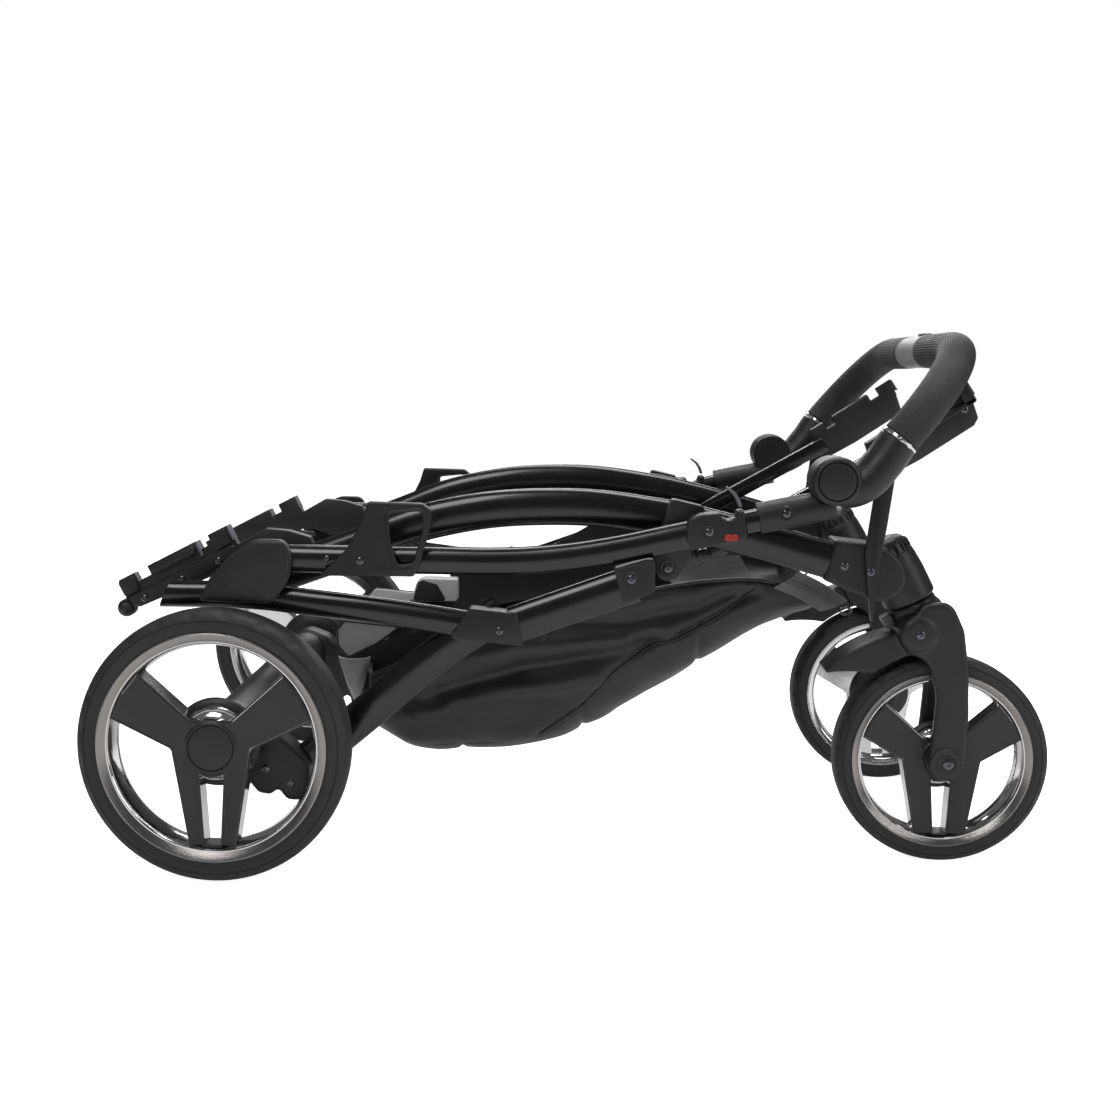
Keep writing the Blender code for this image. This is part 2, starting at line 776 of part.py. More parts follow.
# ---------------------------------------------------------------- handle frame


def side_tubes(handle):
    """The tube of the handle frame from the fold knuckle to the latch housing."""
    path = [
        (0.0515, 0.3385),
        (0.135, 0.3375),
        (0.224, 0.3375),
        (0.300, 0.337),
        (0.350, 0.340),
        (0.410, 0.3485),
        (0.4885, 0.3655),
    ]
    for label, side in SIDES:
        tube = oval_tube(path, SIDE_PLANE, 0.030, side)
        finish(tube, "side_tube_" + label, GLOSS_BLACK, handle)


def fold_covers(handle):
    """The leaf-shaped cover over the fold knuckle."""
    leaf = [
        (0.042, 0.3605, 0.010),
        (0.072, 0.359, 0.010),
        (0.0785, 0.345, 0.02),
        (0.075, 0.318, 0.02),
        (0.058, 0.2925, 0.01),
        (0.020, 0.2925, 0.004),
        (-0.019, 0.2945, 0.003),
        (-0.008, 0.318, 0.02),
        (0.014, 0.342, 0.03),
    ]
    for label, side in SIDES:
        cover = bevelled(plate([rounded(leaf, 0.01)], COVER_PLANE, side), 0.003)
        finish(as_mesh(cover), "fold_cover_" + label, LEATHER, handle)


LATCH = [
    (0.492, 0.3835, 0.006),
    (0.506, 0.3895, 0.006),
    (0.5255, 0.391, 0.001),
    (0.528, 0.386, 0.003),
    (0.535, 0.383, 0.004),
    (0.5415, 0.387, 0.003),
    (0.544, 0.393, 0.001),
    (0.5505, 0.394, 0.002),
    (0.5545, 0.364, 0.004),
    (0.492, 0.350, 0.002),
]
BUTTON_CENTRE = (0.5375, 0.3655)


def button_outline(clearance):
    """The long rounded outline of the safety button, let out by a clearance."""
    x, z = BUTTON_CENTRE
    long, short = 0.0075 + clearance, 0.0035 + clearance
    corners = [(x - long, z - short), (x + long, z - short), (x + long, z + short), (x - long, z + short)]
    return rounded(corners, 0.003)


def latch_housings(handle):
    """The fold latch at the end of each side tube. The right one has the safety button's pocket."""
    for label, side in SIDES:
        housing = plate([rounded(LATCH, 0.003)], (0.2255, 0.2515), side)
        if side < 0:
            pocket = plate([button_outline(0.0005)], (0.2455, 0.26), side)
            housing = combine(housing, [pocket], "DIFFERENCE")
        finish(housing, "latch_housing_" + label, BLACK_PLASTIC, handle)


def fold_triggers(handle):
    """The thin curved lever on each latch housing."""
    outline = [
        (0.5455, 0.3965),
        (0.5435, 0.4030),
        (0.5395, 0.4095),
        (0.5325, 0.4155),
        (0.5340, 0.4175),
        (0.5420, 0.4115),
        (0.5465, 0.4045),
        (0.5490, 0.3965),
    ]
    for label, side in SIDES:
        hinge = pivot("trigger_axis_" + label, 0.5475, side * 0.238, 0.398, handle)
        trigger = plate([outline], (0.2315, 0.2445), side)
        finish(trigger, "fold_trigger_" + label, BLACK_PLASTIC, hinge)


def safety_button(handle):
    """The red button that frees the fold latch."""
    slide = pivot("safety_slide", BUTTON_CENTRE[0], -0.2505, BUTTON_CENTRE[1], handle)
    button = plate([button_outline(0)], (0.2485, 0.2530), -1)
    finish(button, "safety_button", RED_PLASTIC, slide)


def handle_sleeves(handle):
    """The sleeve from the latch housing to the angle hub, with the hub's inner half."""
    outline = [
        (0.566, 0.4005, 0.002),
        (0.625, 0.4135, 0.002),
        (0.641, 0.398, 0.002),
        (0.571, 0.368, 0.002),
    ]
    spigot = [(0.5548, 0.393), (0.568, 0.396), (0.571, 0.372), (0.5556, 0.3675)]
    for label, side in SIDES:
        sleeve = plate([rounded(outline, 0.002)], (0.2245, 0.2515), side)
        neck = plate([spigot], SIDE_PLANE, side)
        hub = disc(*BAR_PIVOT, 0.0245, 0.224, HUB_SPLIT, side)
        clear_hub = disc(*BAR_PIVOT, 0.0262, HUB_SPLIT - 0.0001, 0.28, side, 32)
        sleeve = combine(sleeve, [clear_hub], "DIFFERENCE")
        sleeve = combine(sleeve, [neck, hub], "UNION")
        finish(sleeve, "handle_sleeve_" + label, BLACK_PLASTIC, handle)


def angle_buttons(bar_axis):
    """The push button on the outer face of each angle hub."""
    for label, side in SIDES:
        slide = pivot("angle_slide_" + label, BAR_PIVOT[0], side * 0.2700, BAR_PIVOT[1], bar_axis)
        button = disc(*BAR_PIVOT, 0.0190, 0.2638, 0.2705, side)
        finish(button, "angle_button_" + label, BLACK_PLASTIC, slide)


def carry_loops(handle):
    """The looped bracket bolted to the outside of the side tube."""
    outer = [
        (0.162, 0.401, 0.003),
        (0.219, 0.3995, 0.006),
        (0.229, 0.392, 0.006),
        (0.228, 0.378, 0.02),
        (0.2145, 0.330, 0.01),
        (0.209, 0.3225, 0.003),
        (0.110, 0.3225, 0.002),
        (0.140, 0.352, 0.04),
        (0.156, 0.382, 0.03),
    ]
    hole = [
        (0.182, 0.390, 0.005),
        (0.222, 0.394, 0.008),
        (0.2215, 0.372, 0.02),
        (0.211, 0.336, 0.008),
        (0.192, 0.332, 0.008),
        (0.184, 0.360, 0.02),
    ]
    for label, side in SIDES:
        loop = plate([rounded(outer, 0.003), rounded(hole, 0.005)], COVER_PLANE, side)
        finish(loop, "carry_loop_" + label, BLACK_PLASTIC, handle)


# ---------------------------------------------------------------- push bar


def bar_direction():
    """The direction of the bar's legs in the side view."""
    return (Vector(BAR_CORNER) - Vector(BAR_ROOT)).normalized()


def along_bar(distance):
    """A side-view point on the bar's leg, measured from its root."""
    point = Vector(BAR_ROOT) + bar_direction() * distance
    return tuple(point)


def bar_path():
    """World points of the U-shaped bar: a leg, a round bend, the cross piece, and back."""
    leg = (Vector(BAR_CORNER) - Vector(BAR_ROOT)).length
    half = [(along_bar(RING_LENGTH + 2 * GAP), BAR_Y)]
    for step in range(BAR_BEND_STEPS + 1):
        angle = math.pi / 2 * step / BAR_BEND_STEPS
        drop = leg - BAR_BEND + BAR_BEND * math.sin(angle)
        half.append((along_bar(drop), BAR_Y - BAR_BEND + BAR_BEND * math.cos(angle)))
    points = []
    for (x, z), y in half:
        world_x, world_z = at(x, z)
        points.append((world_x, -y, world_z))
    return points + [(x, -y, z) for x, y, z in reversed(points)]


def push_bar_grip(bar_axis):
    """The covered bar, turned down in the middle of its cross piece to carry the sleeve."""
    grip = round_tube(bar_path(), BAR_RADIUS)
    x, z = at(*BAR_CORNER)
    ring = round_tube([(x, -SLEEVE_HALF - GAP, z), (x, SLEEVE_HALF + GAP, z)], 0.03, 6)
    core = round_tube([(x, -SLEEVE_HALF - 0.01, z), (x, SLEEVE_HALF + 0.01, z)], CORE_RADIUS)
    groove = combine(ring, [core], "DIFFERENCE")
    grip = combine(grip, [groove], "DIFFERENCE")
    finish(grip, "push_bar_grip", LEATHER, bar_axis)


def centre_sleeve(bar_axis):
    """The grey sleeve in the middle of the cross piece, with a pocket for its button."""
    x, z = at(*BAR_CORNER)
    sleeve = round_tube([(x, -SLEEVE_HALF, z), (x, SLEEVE_HALF, z)], BAR_RADIUS - 0.001, 5)
    reach = SLEEVE_HALF + 0.01
    bore = round_tube([(x, -reach, z), (x, reach, z)], CORE_RADIUS + PIN_GAP, 5)
    pocket = bar_button_block(0.0005, 0.0125, 0.03)
    sleeve = combine(sleeve, [bore, pocket], "DIFFERENCE")
    finish(sleeve, "centre_sleeve", GREY_PLASTIC, bar_axis)


def bar_button_block(clearance, low, high):
    """A small block in the centre sleeve's top, from low to high above the bar's axis."""
    x, z = BAR_CORNER
    half = 0.006 + clearance
    outline = [(x - half, z + low), (x + half, z + low), (x + half, z + high), (x - half, z + high)]
    return plate([outline], (0.014 - clearance, 0.034 + clearance), -1)


def bar_button(bar_axis):
    """The small press button in the centre sleeve."""
    slide = pivot("bar_button_slide", BAR_CORNER[0], -0.024, BAR_CORNER[1] + BAR_RADIUS, bar_axis)
    button = bar_button_block(0, 0.0155, 0.0212)
    finish(button, "bar_button", BLACK_PLASTIC, slide)


def leg_segment(low, high, side, radius, resolution):
    """A round length of the bar's leg, between two distances from its root."""
    ends = []
    for distance in (low, high):
        x, z = at(*along_bar(distance))
        ends.append((x, side * BAR_Y, z))
    return round_tube(ends, radius, resolution)


def trim_rings(bar_axis):
    """The bright ring between each elbow and the covered bar."""
    for label, side in SIDES:
        ring = leg_segment(GAP, RING_LENGTH + GAP, side, BAR_RADIUS + 0.0015, 5)
        finish(ring, "trim_ring_" + label, CHROME, bar_axis)


def bar_elbows(bar_axis):
    """The bent tube from the outer half of the angle hub to the bar."""
    path = [(0.645, 0.4145), (0.668, 0.421), (0.688, 0.4415), along_bar(RING_LENGTH)]
    plane = (BAR_Y - 0.0205, BAR_Y + 0.0205)
    for label, side in SIDES:
        tube = oval_tube(path, plane, 0.041, side, 3)
        hub = disc(*BAR_PIVOT, HUB_RADIUS_OUTER, HUB_SPLIT + 0.0005, 0.2685, side)
        clear_hub = disc(*BAR_PIVOT, 0.0262, 0.20, HUB_SPLIT + 0.0004, side, 32)
        elbow = combine(tube, [hub], "UNION")
        pocket = disc(*BAR_PIVOT, 0.0197, 0.2605, 0.28, side, 28)
        square_end = leg_segment(0, 0.03, side, 0.035, 3)
        elbow = combine(elbow, [clear_hub, pocket, square_end], "DIFFERENCE")
        finish(elbow, "bar_elbow_" + label, BLACK_PLASTIC, bar_axis)


def main():
    global parts, cutters
    clear_scene()
    parts = new_collection("pet_stroller_chassis")
    cutters = new_collection("cutters")
    front_legs()
    leg_sleeves()
    caster_housings()
    front_cross_tube()
    lower_tubes()
    elbow_brackets()
    brace_tubes()
    rear_receivers()
    front_receivers()
    receiver_arms()
    basket()
    front_casters()
    legs = rear_legs()
    rear_axle_beam(legs)
    brake_pedal(legs)
    rear_wheels(legs)
    handle = pivot("handle_axis", HANDLE_PIVOT[0], 0, HANDLE_PIVOT[1])
    side_tubes(handle)
    fold_covers(handle)
    latch_housings(handle)
    handle_sleeves(handle)
    carry_loops(handle)
    fold_triggers(handle)
    safety_button(handle)
    bar_axis = pivot("bar_axis", BAR_PIVOT[0], 0, BAR_PIVOT[1], handle)
    bar_elbows(bar_axis)
    push_bar_grip(bar_axis)
    centre_sleeve(bar_axis)
    trim_rings(bar_axis)
    angle_buttons(bar_axis)
    bar_button(bar_axis)


main()
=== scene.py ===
import json
import math
from contextlib import contextmanager

import bmesh
import bpy
import numpy as np
from mathutils import Matrix, Vector, noise


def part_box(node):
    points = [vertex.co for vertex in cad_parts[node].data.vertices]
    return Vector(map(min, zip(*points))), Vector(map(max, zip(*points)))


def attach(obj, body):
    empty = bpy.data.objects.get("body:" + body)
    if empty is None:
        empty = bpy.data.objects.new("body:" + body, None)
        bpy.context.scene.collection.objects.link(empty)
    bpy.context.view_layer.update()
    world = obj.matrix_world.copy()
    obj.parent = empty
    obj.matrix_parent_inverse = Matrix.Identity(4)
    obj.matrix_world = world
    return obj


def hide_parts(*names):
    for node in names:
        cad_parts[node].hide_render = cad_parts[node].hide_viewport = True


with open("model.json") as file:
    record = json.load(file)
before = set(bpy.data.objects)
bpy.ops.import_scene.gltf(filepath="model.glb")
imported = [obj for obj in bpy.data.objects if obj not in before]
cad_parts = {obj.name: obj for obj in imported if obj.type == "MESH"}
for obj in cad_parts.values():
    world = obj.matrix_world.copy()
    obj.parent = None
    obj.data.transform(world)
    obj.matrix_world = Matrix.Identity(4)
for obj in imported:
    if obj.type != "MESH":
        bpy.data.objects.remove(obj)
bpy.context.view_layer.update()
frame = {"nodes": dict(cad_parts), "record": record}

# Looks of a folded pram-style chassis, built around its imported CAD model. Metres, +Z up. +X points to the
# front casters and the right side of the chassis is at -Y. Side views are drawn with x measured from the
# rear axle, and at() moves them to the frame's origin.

NODES = frame["nodes"]
BODY_OF = {node: body for body, nodes in frame["record"]["behaviour"]["bodies"].items() for node in nodes}
SIDES = (("right", -1), ("left", 1))


def middle_of(node):
    low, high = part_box(node)
    return (Vector(low) + Vector(high)) / 2


def size_of(node):
    low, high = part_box(node)
    return Vector(high) - Vector(low)


# Driving dimensions, most of them read from the frame.
REAR_AXLE = middle_of("rear_tyre_right")
FRONT_AXLE = middle_of("front_tyre_right")
REAR_RADIUS = size_of("rear_tyre_right").z / 2
FRONT_RADIUS = size_of("front_tyre_right").z / 2
REAR_HALF_WIDTH = size_of("rear_tyre_right").y / 2
FRONT_HALF_WIDTH = size_of("front_tyre_right").y / 2
FRONT_WHEEL_Y = -FRONT_AXLE.y
WHEELBASE = FRONT_AXLE.x - REAR_AXLE.x
CASTER_TILT = math.radians(26.5)

# Distances from the middle plane of the chassis: (inner, outer) planes of tubes and plates, and outer faces.
SIDE_PLANE = (0.228, 0.248)
BRACKET_FACE = 0.2505
HANDLE_FACE = 0.2515
BRACE_FACE = 0.2252
CARRIER_FACE = 0.2358
REAR_LEG_PLANE = (0.2075, 0.225)
FRONT_LEG_PLANE = (0.185, 0.205)
COVER_PLANE = (0.2483, 0.2615)
RECEIVER_PLANE = (0.171, 0.1847)
STRUT_FACE = 0.2135

# Pivots and corners in the side view, as (x from the rear axle, z).
BAR_PIVOT = (0.641, 0.425)
BAR_CORNER = (0.781, 0.5585)
BAR_ROOT = (0.7035, 0.4645)
CASTER_TOP = (0.7415, 0.2885)
BAR_Y = 0.2465
HUB_SPLIT = 0.2383
BAR_RADIUS = 0.0195
BAR_BEND = 0.105
SLEEVE_HALF = 0.0425
GAP = 0.0003


def at(x, z):
    """The frame's x and z of a point that is drawn with x from the rear axle."""
    return x + REAR_AXLE.x, z


def to_frame(x, y, z):
    """The frame's point for a side-view point at a lateral place."""
    return Vector((x + REAR_AXLE.x, y, z))


# ---------------------------------------------------------------- materials


NOISE, VORONOI, WAVE = "ShaderNodeTexNoise", "ShaderNodeTexVoronoi", "ShaderNodeTexWave"


def texture(material, kind, scale, stretch=(1, 1, 1), **settings):
    """The output of a texture on the piece's own coordinates, its features stretched along each axis."""
    nodes = material.node_tree.nodes
    links = material.node_tree.links
    mapping = nodes.new("ShaderNodeMapping")
    mapping.inputs["Scale"].default_value = stretch
    links.new(nodes.new("ShaderNodeTexCoord").outputs["Object"], mapping.inputs["Vector"])
    made = nodes.new(kind)
    links.new(mapping.outputs["Vector"], made.inputs["Vector"])
    made.inputs["Scale"].default_value = scale
    for name, value in settings.items():
        if name in made.inputs:
            made.inputs[name].default_value = value
        else:
            setattr(made, name, value)
    return made.outputs["Distance" if kind == VORONOI else "Fac"]


def ramp(material, source, stops):
    """A colour ramp over the source, with (place, colour) stops."""
    made = material.node_tree.nodes.new("ShaderNodeValToRGB")
    for element, (place, colour) in zip(made.color_ramp.elements, stops, strict=True):
        element.position = place
        element.color = (*colour, 1.0)
    material.node_tree.links.new(source, made.inputs["Fac"])
    return made.outputs["Color"]


def ranged(material, source, low, high, start=0.3, end=0.7):
    """The source's span from start to end, spread between low and high."""
    made = material.node_tree.nodes.new("ShaderNodeMapRange")
    for name, value in (("From Min", start), ("From Max", end), ("To Min", low), ("To Max", high)):
        made.inputs[name].default_value = value
    material.node_tree.links.new(source, made.inputs["Value"])
    return made.outputs["Result"]


def bump(material, layers):
    """Chains bumps of (height, texture kind, scale, texture settings) into the shader's normal."""
    nodes = material.node_tree.nodes
    links = material.node_tree.links
    normal = None
    for height, kind, scale, settings in layers:
        made = nodes.new("ShaderNodeBump")
        made.inputs["Distance"].default_value = height
        links.new(texture(material, kind, scale, **settings), made.inputs["Height"])
        if normal:
            links.new(normal, made.inputs["Normal"])
        normal = made.outputs["Normal"]
    links.new(normal, nodes["Principled BSDF"].inputs["Normal"])


def scaled(colour, factor):
    return tuple(channel * factor for channel in colour)


def surface(
    name, slot, colour, roughness, *layers,
    spread=0.15, rough_spread=0.06, patch=18, edge_highlight=0.0, metallic=0.0, **sockets,
):
    """A material whose colour and roughness vary in soft patches, with painted highlights on its sharp edges,
    and bump layers.
    """
    made = bpy.data.materials.new(name)
    made.use_nodes = True
    made["slot"] = slot
    nodes = made.node_tree.nodes
    links = made.node_tree.links
    shader = nodes["Principled BSDF"]
    shader.inputs["Metallic"].default_value = metallic
    for socket, value in sockets.items():
        shader.inputs[socket.replace("_", " ")].default_value = value
    tones = [(0.3, scaled(colour, 1 - spread)), (0.7, scaled(colour, 1 + spread))]
    tone = ramp(made, texture(made, NOISE, patch, Detail=4.0), tones)
    # Sharp edges found by pointiness get a lighter colour: a painted highlight along the edges.
    if edge_highlight:
        geometry = nodes.new("ShaderNodeNewGeometry")
        mix = nodes.new("ShaderNodeMix")
        mix.data_type = "RGBA"
        mix.inputs["B"].default_value = (*scaled(colour, 3.5), 1.0)
        edge = ranged(made, geometry.outputs["Pointiness"], 0.0, edge_highlight, 0.53, 0.62)
        links.new(edge, mix.inputs["Factor"])
        links.new(tone, mix.inputs["A"])
        tone = mix.outputs["Result"]
    links.new(tone, shader.inputs["Base Color"])
    blotches = texture(made, NOISE, patch * 2.3, Detail=3.0)
    rough = ranged(made, blotches, roughness - rough_spread, roughness + rough_spread)
    links.new(rough, shader.inputs["Roughness"])
    bump(made, layers)
    return made


def turned_metal(name, colour, roughness, scratch):
    """Dark chrome with fine rings round the wheel's own axle, which lies along the piece's Y axis."""
    rings = {"wave_type": "RINGS", "rings_direction": "Y", "Distortion": 1.5, "Detail": 2.0}
    return surface(
        name, "chrome", colour, roughness, (scratch, WAVE, 900, rings),
        spread=0.06, rough_spread=0.03, patch=7, metallic=1.0,
    )


def leatherette(name, colour, roughness):
    """Soft coated cloth with slack creases and a pebbled grain."""
    return surface(
        name, "leatherette", colour, roughness,
        (0.0009, NOISE, 34, {"Detail": 4.0, "Distortion": 1.2}),
        (0.00016, VORONOI, 780, {"feature": "SMOOTH_F1", "Smoothness": 0.7}),
        (0.00004, NOISE, 1900, {"Detail": 3.0}),
        spread=0.2, patch=14, edge_highlight=0.15, Sheen_Weight=0.12, Sheen_Roughness=0.4,
    )


def woven(name, colour, thread, cross_height):
    """Webbing or mesh: lengthwise threads, and cross threads that stand up by the given height."""
    layers = [
        (height, WAVE, 1 / (2 * thread), {"bands_direction": axis, "Distortion": 0.4, "Detail": 2.0})
        for axis, height in (("X", 0.00035), ("Z", cross_height))
    ]
    return surface(name, "leatherette", colour, 0.72, *layers, spread=0.25, Sheen_Weight=0.08)


def moulded_colour(name, slot, colour, roughness=0.38):
    return surface(name, slot, colour, roughness, (0.00005, VORONOI, 1700, {}), spread=0.08, edge_highlight=0.15)


# Moulded black nylon with the fine spark grain of its tool.
PLASTIC = surface(
    "satin_plastic", "black_plastic", (0.0125, 0.0125, 0.0128), 0.42,
    (0.00012, NOISE, 90, {"Detail": 2.0}), (0.00007, VORONOI, 1500, {}), edge_highlight=0.35,
)
# Black enamel baked on tube, with a faint orange peel under the clear coat.
ENAMEL = surface(
    "gloss_enamel", "gloss_black", (0.004, 0.004, 0.0046), 0.24, (0.00002, NOISE, 260, {"Detail": 1.0}),
    patch=9, rough_spread=0.04, edge_highlight=0.12, Coat_Weight=0.3, Coat_Roughness=0.08,
)
# Matte foam rubber, dustier in patches.
RUBBER = surface(
    "tyre_rubber", "tyre", (0.0185, 0.0185, 0.0188), 0.6, (0.00018, NOISE, 140, {"Detail": 2.0}),
    (0.00008, NOISE, 1400, {"Detail": 3.0}), spread=0.25, patch=12, edge_highlight=0.2,
)
RING_METAL = turned_metal("ring_metal", (0.3, 0.285, 0.275), 0.25, 0.00002)
BRIGHT_METAL = turned_metal("bright_metal", (0.72, 0.71, 0.705), 0.1, 0.000005)
STEEL = surface(
    "screw_steel", "chrome", (0.1, 0.1, 0.11), 0.22,
    (0.00003, NOISE, 500, {"stretch": (1, 1, 6), "Detail": 3.0}), metallic=1.0, edge_highlight=0.4,
)
LEATHER = leatherette("leatherette", (0.0135, 0.0135, 0.0142), 0.43)
PALE_LEATHER = leatherette("pale_leatherette", (0.5, 0.5, 0.505), 0.45)
# Foamed grip cover, matte, with painted highlights on its ridges.
GRIP = surface(
    "soft_grip", "leatherette", (0.03, 0.03, 0.031), 0.6, (0.0002, NOISE, 420, {"Detail": 3.0}),
    (0.00008, VORONOI, 1300, {}), spread=0.3, patch=30, edge_highlight=0.5,
)
GREY = moulded_colour("grey_plastic", "grey_plastic", (0.13, 0.13, 0.145))
PALE = moulded_colour("pale_plastic", "grey_plastic", (0.3, 0.3, 0.31))
RED = moulded_colour("red_plastic", "red_plastic", (0.34, 0.022, 0.014))
WEBBING = woven("ribbed_webbing", (0.17, 0.17, 0.178), 0.0011, 0.00014)
MESH = woven("woven_mesh", (0.016, 0.016, 0.0165), 0.0009, 0.00035)
PALE_MESH = woven("pale_woven_mesh", (0.018, 0.018, 0.0185), 0.0009, 0.00035)
THREAD = moulded_colour("sewing_thread", "leatherette", (0.045, 0.045, 0.05), 0.6)


# ---------------------------------------------------------------- shapes


def linked(name, data):
    obj = bpy.data.objects.new(name, data)
    bpy.context.scene.collection.objects.link(obj)
    return obj


@contextmanager
def editing(mesh):
    """The mesh as a bmesh, which is written back at the end."""
    work = bmesh.new()
    work.from_mesh(mesh)
    yield work
    work.to_mesh(mesh)
    work.free()


def shown(name, mesh, *materials):
    for material in materials:
        mesh.materials.append(material)
    return linked(name, mesh)


def place(obj, body, *nodes):
    """The piece rides on its body and stands for the CAD nodes, which are hidden."""
    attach(obj, body)
    if nodes:
        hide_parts(*nodes)
    return obj


def cleaned(mesh, weld=1e-5, flat=0.0):
    """Welds a mesh, makes its flat faces whole, and turns its faces outwards."""
    with editing(mesh) as work:
        bmesh.ops.remove_doubles(work, verts=work.verts, dist=weld)
        if flat:
            bmesh.ops.dissolve_limit(work, angle_limit=math.radians(flat), verts=work.verts, edges=work.edges)
        bmesh.ops.recalc_face_normals(work, faces=work.faces)
    return mesh


def applied(obj):
    """The object's mesh with its modifiers applied, in place of the object's own."""
    bpy.context.view_layer.update()
    graph = bpy.context.evaluated_depsgraph_get()
    mesh = bpy.data.meshes.new_from_object(obj.evaluated_get(graph))
    mesh.transform(obj.matrix_world)
    name = obj.name
    bpy.data.objects.remove(obj)
    return shown(name, cleaned(mesh, 1e-6))


def smooth(obj, angle=38):
    obj.data.shade_smooth()
    obj.data.set_sharp_from_angle(angle=math.radians(angle))
    return obj


def finished(obj, material, angle, body, *nodes, name=None):
    """Paints, smooths and places a piece, which may get its name here."""
    obj.name = name or obj.name
    obj.data.materials.append(material)
    return place(smooth(obj, angle), body, *nodes)


def edged(obj, width, segments=2, angle=32):
    """Rounds the sharp edges and applies the rounding."""
    modifier = obj.modifiers.new("edges", "BEVEL")
    modifier.width = width
    modifier.segments = segments
    modifier.limit_method = "ANGLE"
    modifier.angle_limit = math.radians(angle)
    modifier.use_clamp_overlap = False
    return applied(obj)


def softened(node, width, segments, material=PLASTIC):
    """A CAD node with its moulded edges rounded."""
    mesh = cleaned(NODES[node].data.copy(), 1e-5, 1.0)
    mesh.materials.clear()
    made = edged(shown(node + "_moulding", mesh), width, segments)
    made.data.materials.clear()
    return finished(made, material, 38, BODY_OF[node], node)


def carved(obj, cutter):
    """The object with the cutter's shape taken out of it."""
    modifier = obj.modifiers.new("carve", "BOOLEAN")
    modifier.operation = "DIFFERENCE"
    modifier.object = cutter
    made = applied(obj)
    bpy.data.objects.remove(cutter)
    return made


def joined(name, pieces, *materials):
    """One object from several, whose faces keep their own material index."""
    bpy.context.view_layer.update()
    mesh = bpy.data.meshes.new(name)
    with editing(mesh) as work:
        for piece in pieces:
            copy = piece.data.copy()
            copy.transform(piece.matrix_world)
            work.from_mesh(copy)
            bpy.data.meshes.remove(copy)
            bpy.data.objects.remove(piece)
    return shown(name, mesh, *materials)


def fused(name, pieces, voxel, passes, material):
    """Several closed shapes run together into one moulding with rounded joins."""
    made = joined(name, pieces)
    remesh = made.modifiers.new("remesh", "REMESH")
    remesh.mode = "VOXEL"
    remesh.voxel_size = voxel
    relax = made.modifiers.new("relax", "SMOOTH")
    relax.iterations = passes
    relax.factor = 0.5
    made = applied(made)
    made.data.materials.append(material)
    made.data.shade_smooth()
    return made


def rounded(corners, radius, steps=6):
    """The outline through the corners, each rounded by an arc. A corner may give its own radius."""
    outline = []
    count = len(corners)
    for i, corner in enumerate(corners):
        here = Vector(corner[:2])
        before = Vector(corners[i - 1][:2]) - here
        after = Vector(corners[(i + 1) % count][:2]) - here
        own = corner[2] if len(corner) > 2 else radius
        if own <= 0:
            outline.append(tuple(here))
            continue
        half = before.angle(after) / 2
        reach = min(own / math.tan(half), 0.45 * before.length, 0.45 * after.length)
        own = reach * math.tan(half)
        middle = here + (before.normalized() + after.normalized()).normalized() * own / math.sin(half)
        start = here + before.normalized() * reach - middle
        turn = start.angle_signed(here + after.normalized() * reach - middle)
        for step in range(steps + 1):
            arm = start.copy()
            arm.rotate(Matrix.Rotation(-turn * step / steps, 2))
            outline.append(tuple(middle + arm))
    return outline


def shrunk(outline, distance):
    """The outline drawn in by a distance, or let out by a negative one."""
    points = [Vector(point) for point in outline]
    area = sum(a.x * b.y - b.x * a.y for a, b in zip(points, points[1:] + points[:1]))
    turn = math.copysign(1, area)
    moved = []
    for i, here in enumerate(points):
        into = (here - points[i - 1]).normalized()
        away = (points[(i + 1) % len(points)] - here).normalized()
        normal = Vector((-into.y - away.y, into.x + away.x)).normalized() * turn
        lean = max(0.3, normal.dot(Vector((-into.y, into.x)) * turn))
        moved.append(tuple(here + normal * distance / lean))
    return moved


def quads(rows, columns, wrap_rows=False, wrap_columns=True):
    """The faces of a grid of points, which may close on itself either way."""
    faces = []
    for i in range(rows if wrap_rows else rows - 1):
        here, there = i * columns, (i + 1) % rows * columns
        for j in range(columns if wrap_columns else columns - 1):
            after = (j + 1) % columns
            faces.append((here + j, here + after, there + after, there + j))
    return faces


def built(name, verts, faces):
    mesh = bpy.data.meshes.new(name)
    mesh.from_pydata(verts, [], faces)
    return shown(name, cleaned(mesh, 1e-7))


def curve(name, lines, closed=False, kind="POLY", **settings):
    """A curve with the given settings through lines of points."""
    made = bpy.data.curves.new(name, "CURVE")
    for setting, value in settings.items():
        setattr(made, setting, value)
    for line in lines:
        spline = made.splines.new(kind)
        points = spline.points if kind == "POLY" else spline.bezier_points
        points.add(len(line) - 1)
        for point, where in zip(points, line):
            if kind == "POLY":
                point.co = (*where, 1)
            else:
                point.co = where
                point.handle_left_type = point.handle_right_type = "AUTO"
        spline.use_cyclic_u = closed
    return linked(name, made)


def domed(outline, face, side, rise, skirt, rings=10):
    """A low dome over a side-view outline, standing on a lateral face with a short skirt below it."""
    count = len(outline)
    middle_x = sum(x for x, _ in outline) / count
    middle_z = sum(z for _, z in outline) / count
    verts = [to_frame(x, side * (face - skirt), z) for x, z in outline]
    for ring in range(rings):
        share = math.cos(math.pi / 2 * ring / rings)
        y = side * (face + rise * math.sin(math.pi / 2 * ring / rings) ** 0.8)
        for x, z in outline:
            verts.append(to_frame(middle_x + (x - middle_x) * share, y, middle_z + (z - middle_z) * share))
    caps = [tuple(range(count)), tuple(range(rings * count, (rings + 1) * count))]
    return built("dome", verts, caps + quads(rings + 1, count))


def plate(outlines, plane, side=1, edge=0.0):
    """A flat piece: a side-view outline, with any holes after it, between two lateral planes."""
    lines = [[(*at(x, z), 0) for x, z in outline] for outline in outlines]
    obj = curve(
        "plate", lines, True, dimensions="2D", fill_mode="BOTH", extrude=(plane[1] - plane[0]) / 2 - edge,
        bevel_depth=edge, bevel_resolution=3, offset=-edge,
    )
    obj.rotation_euler = (math.pi / 2, 0, 0)
    obj.location.y = side * (plane[0] + plane[1]) / 2
    return applied(obj)


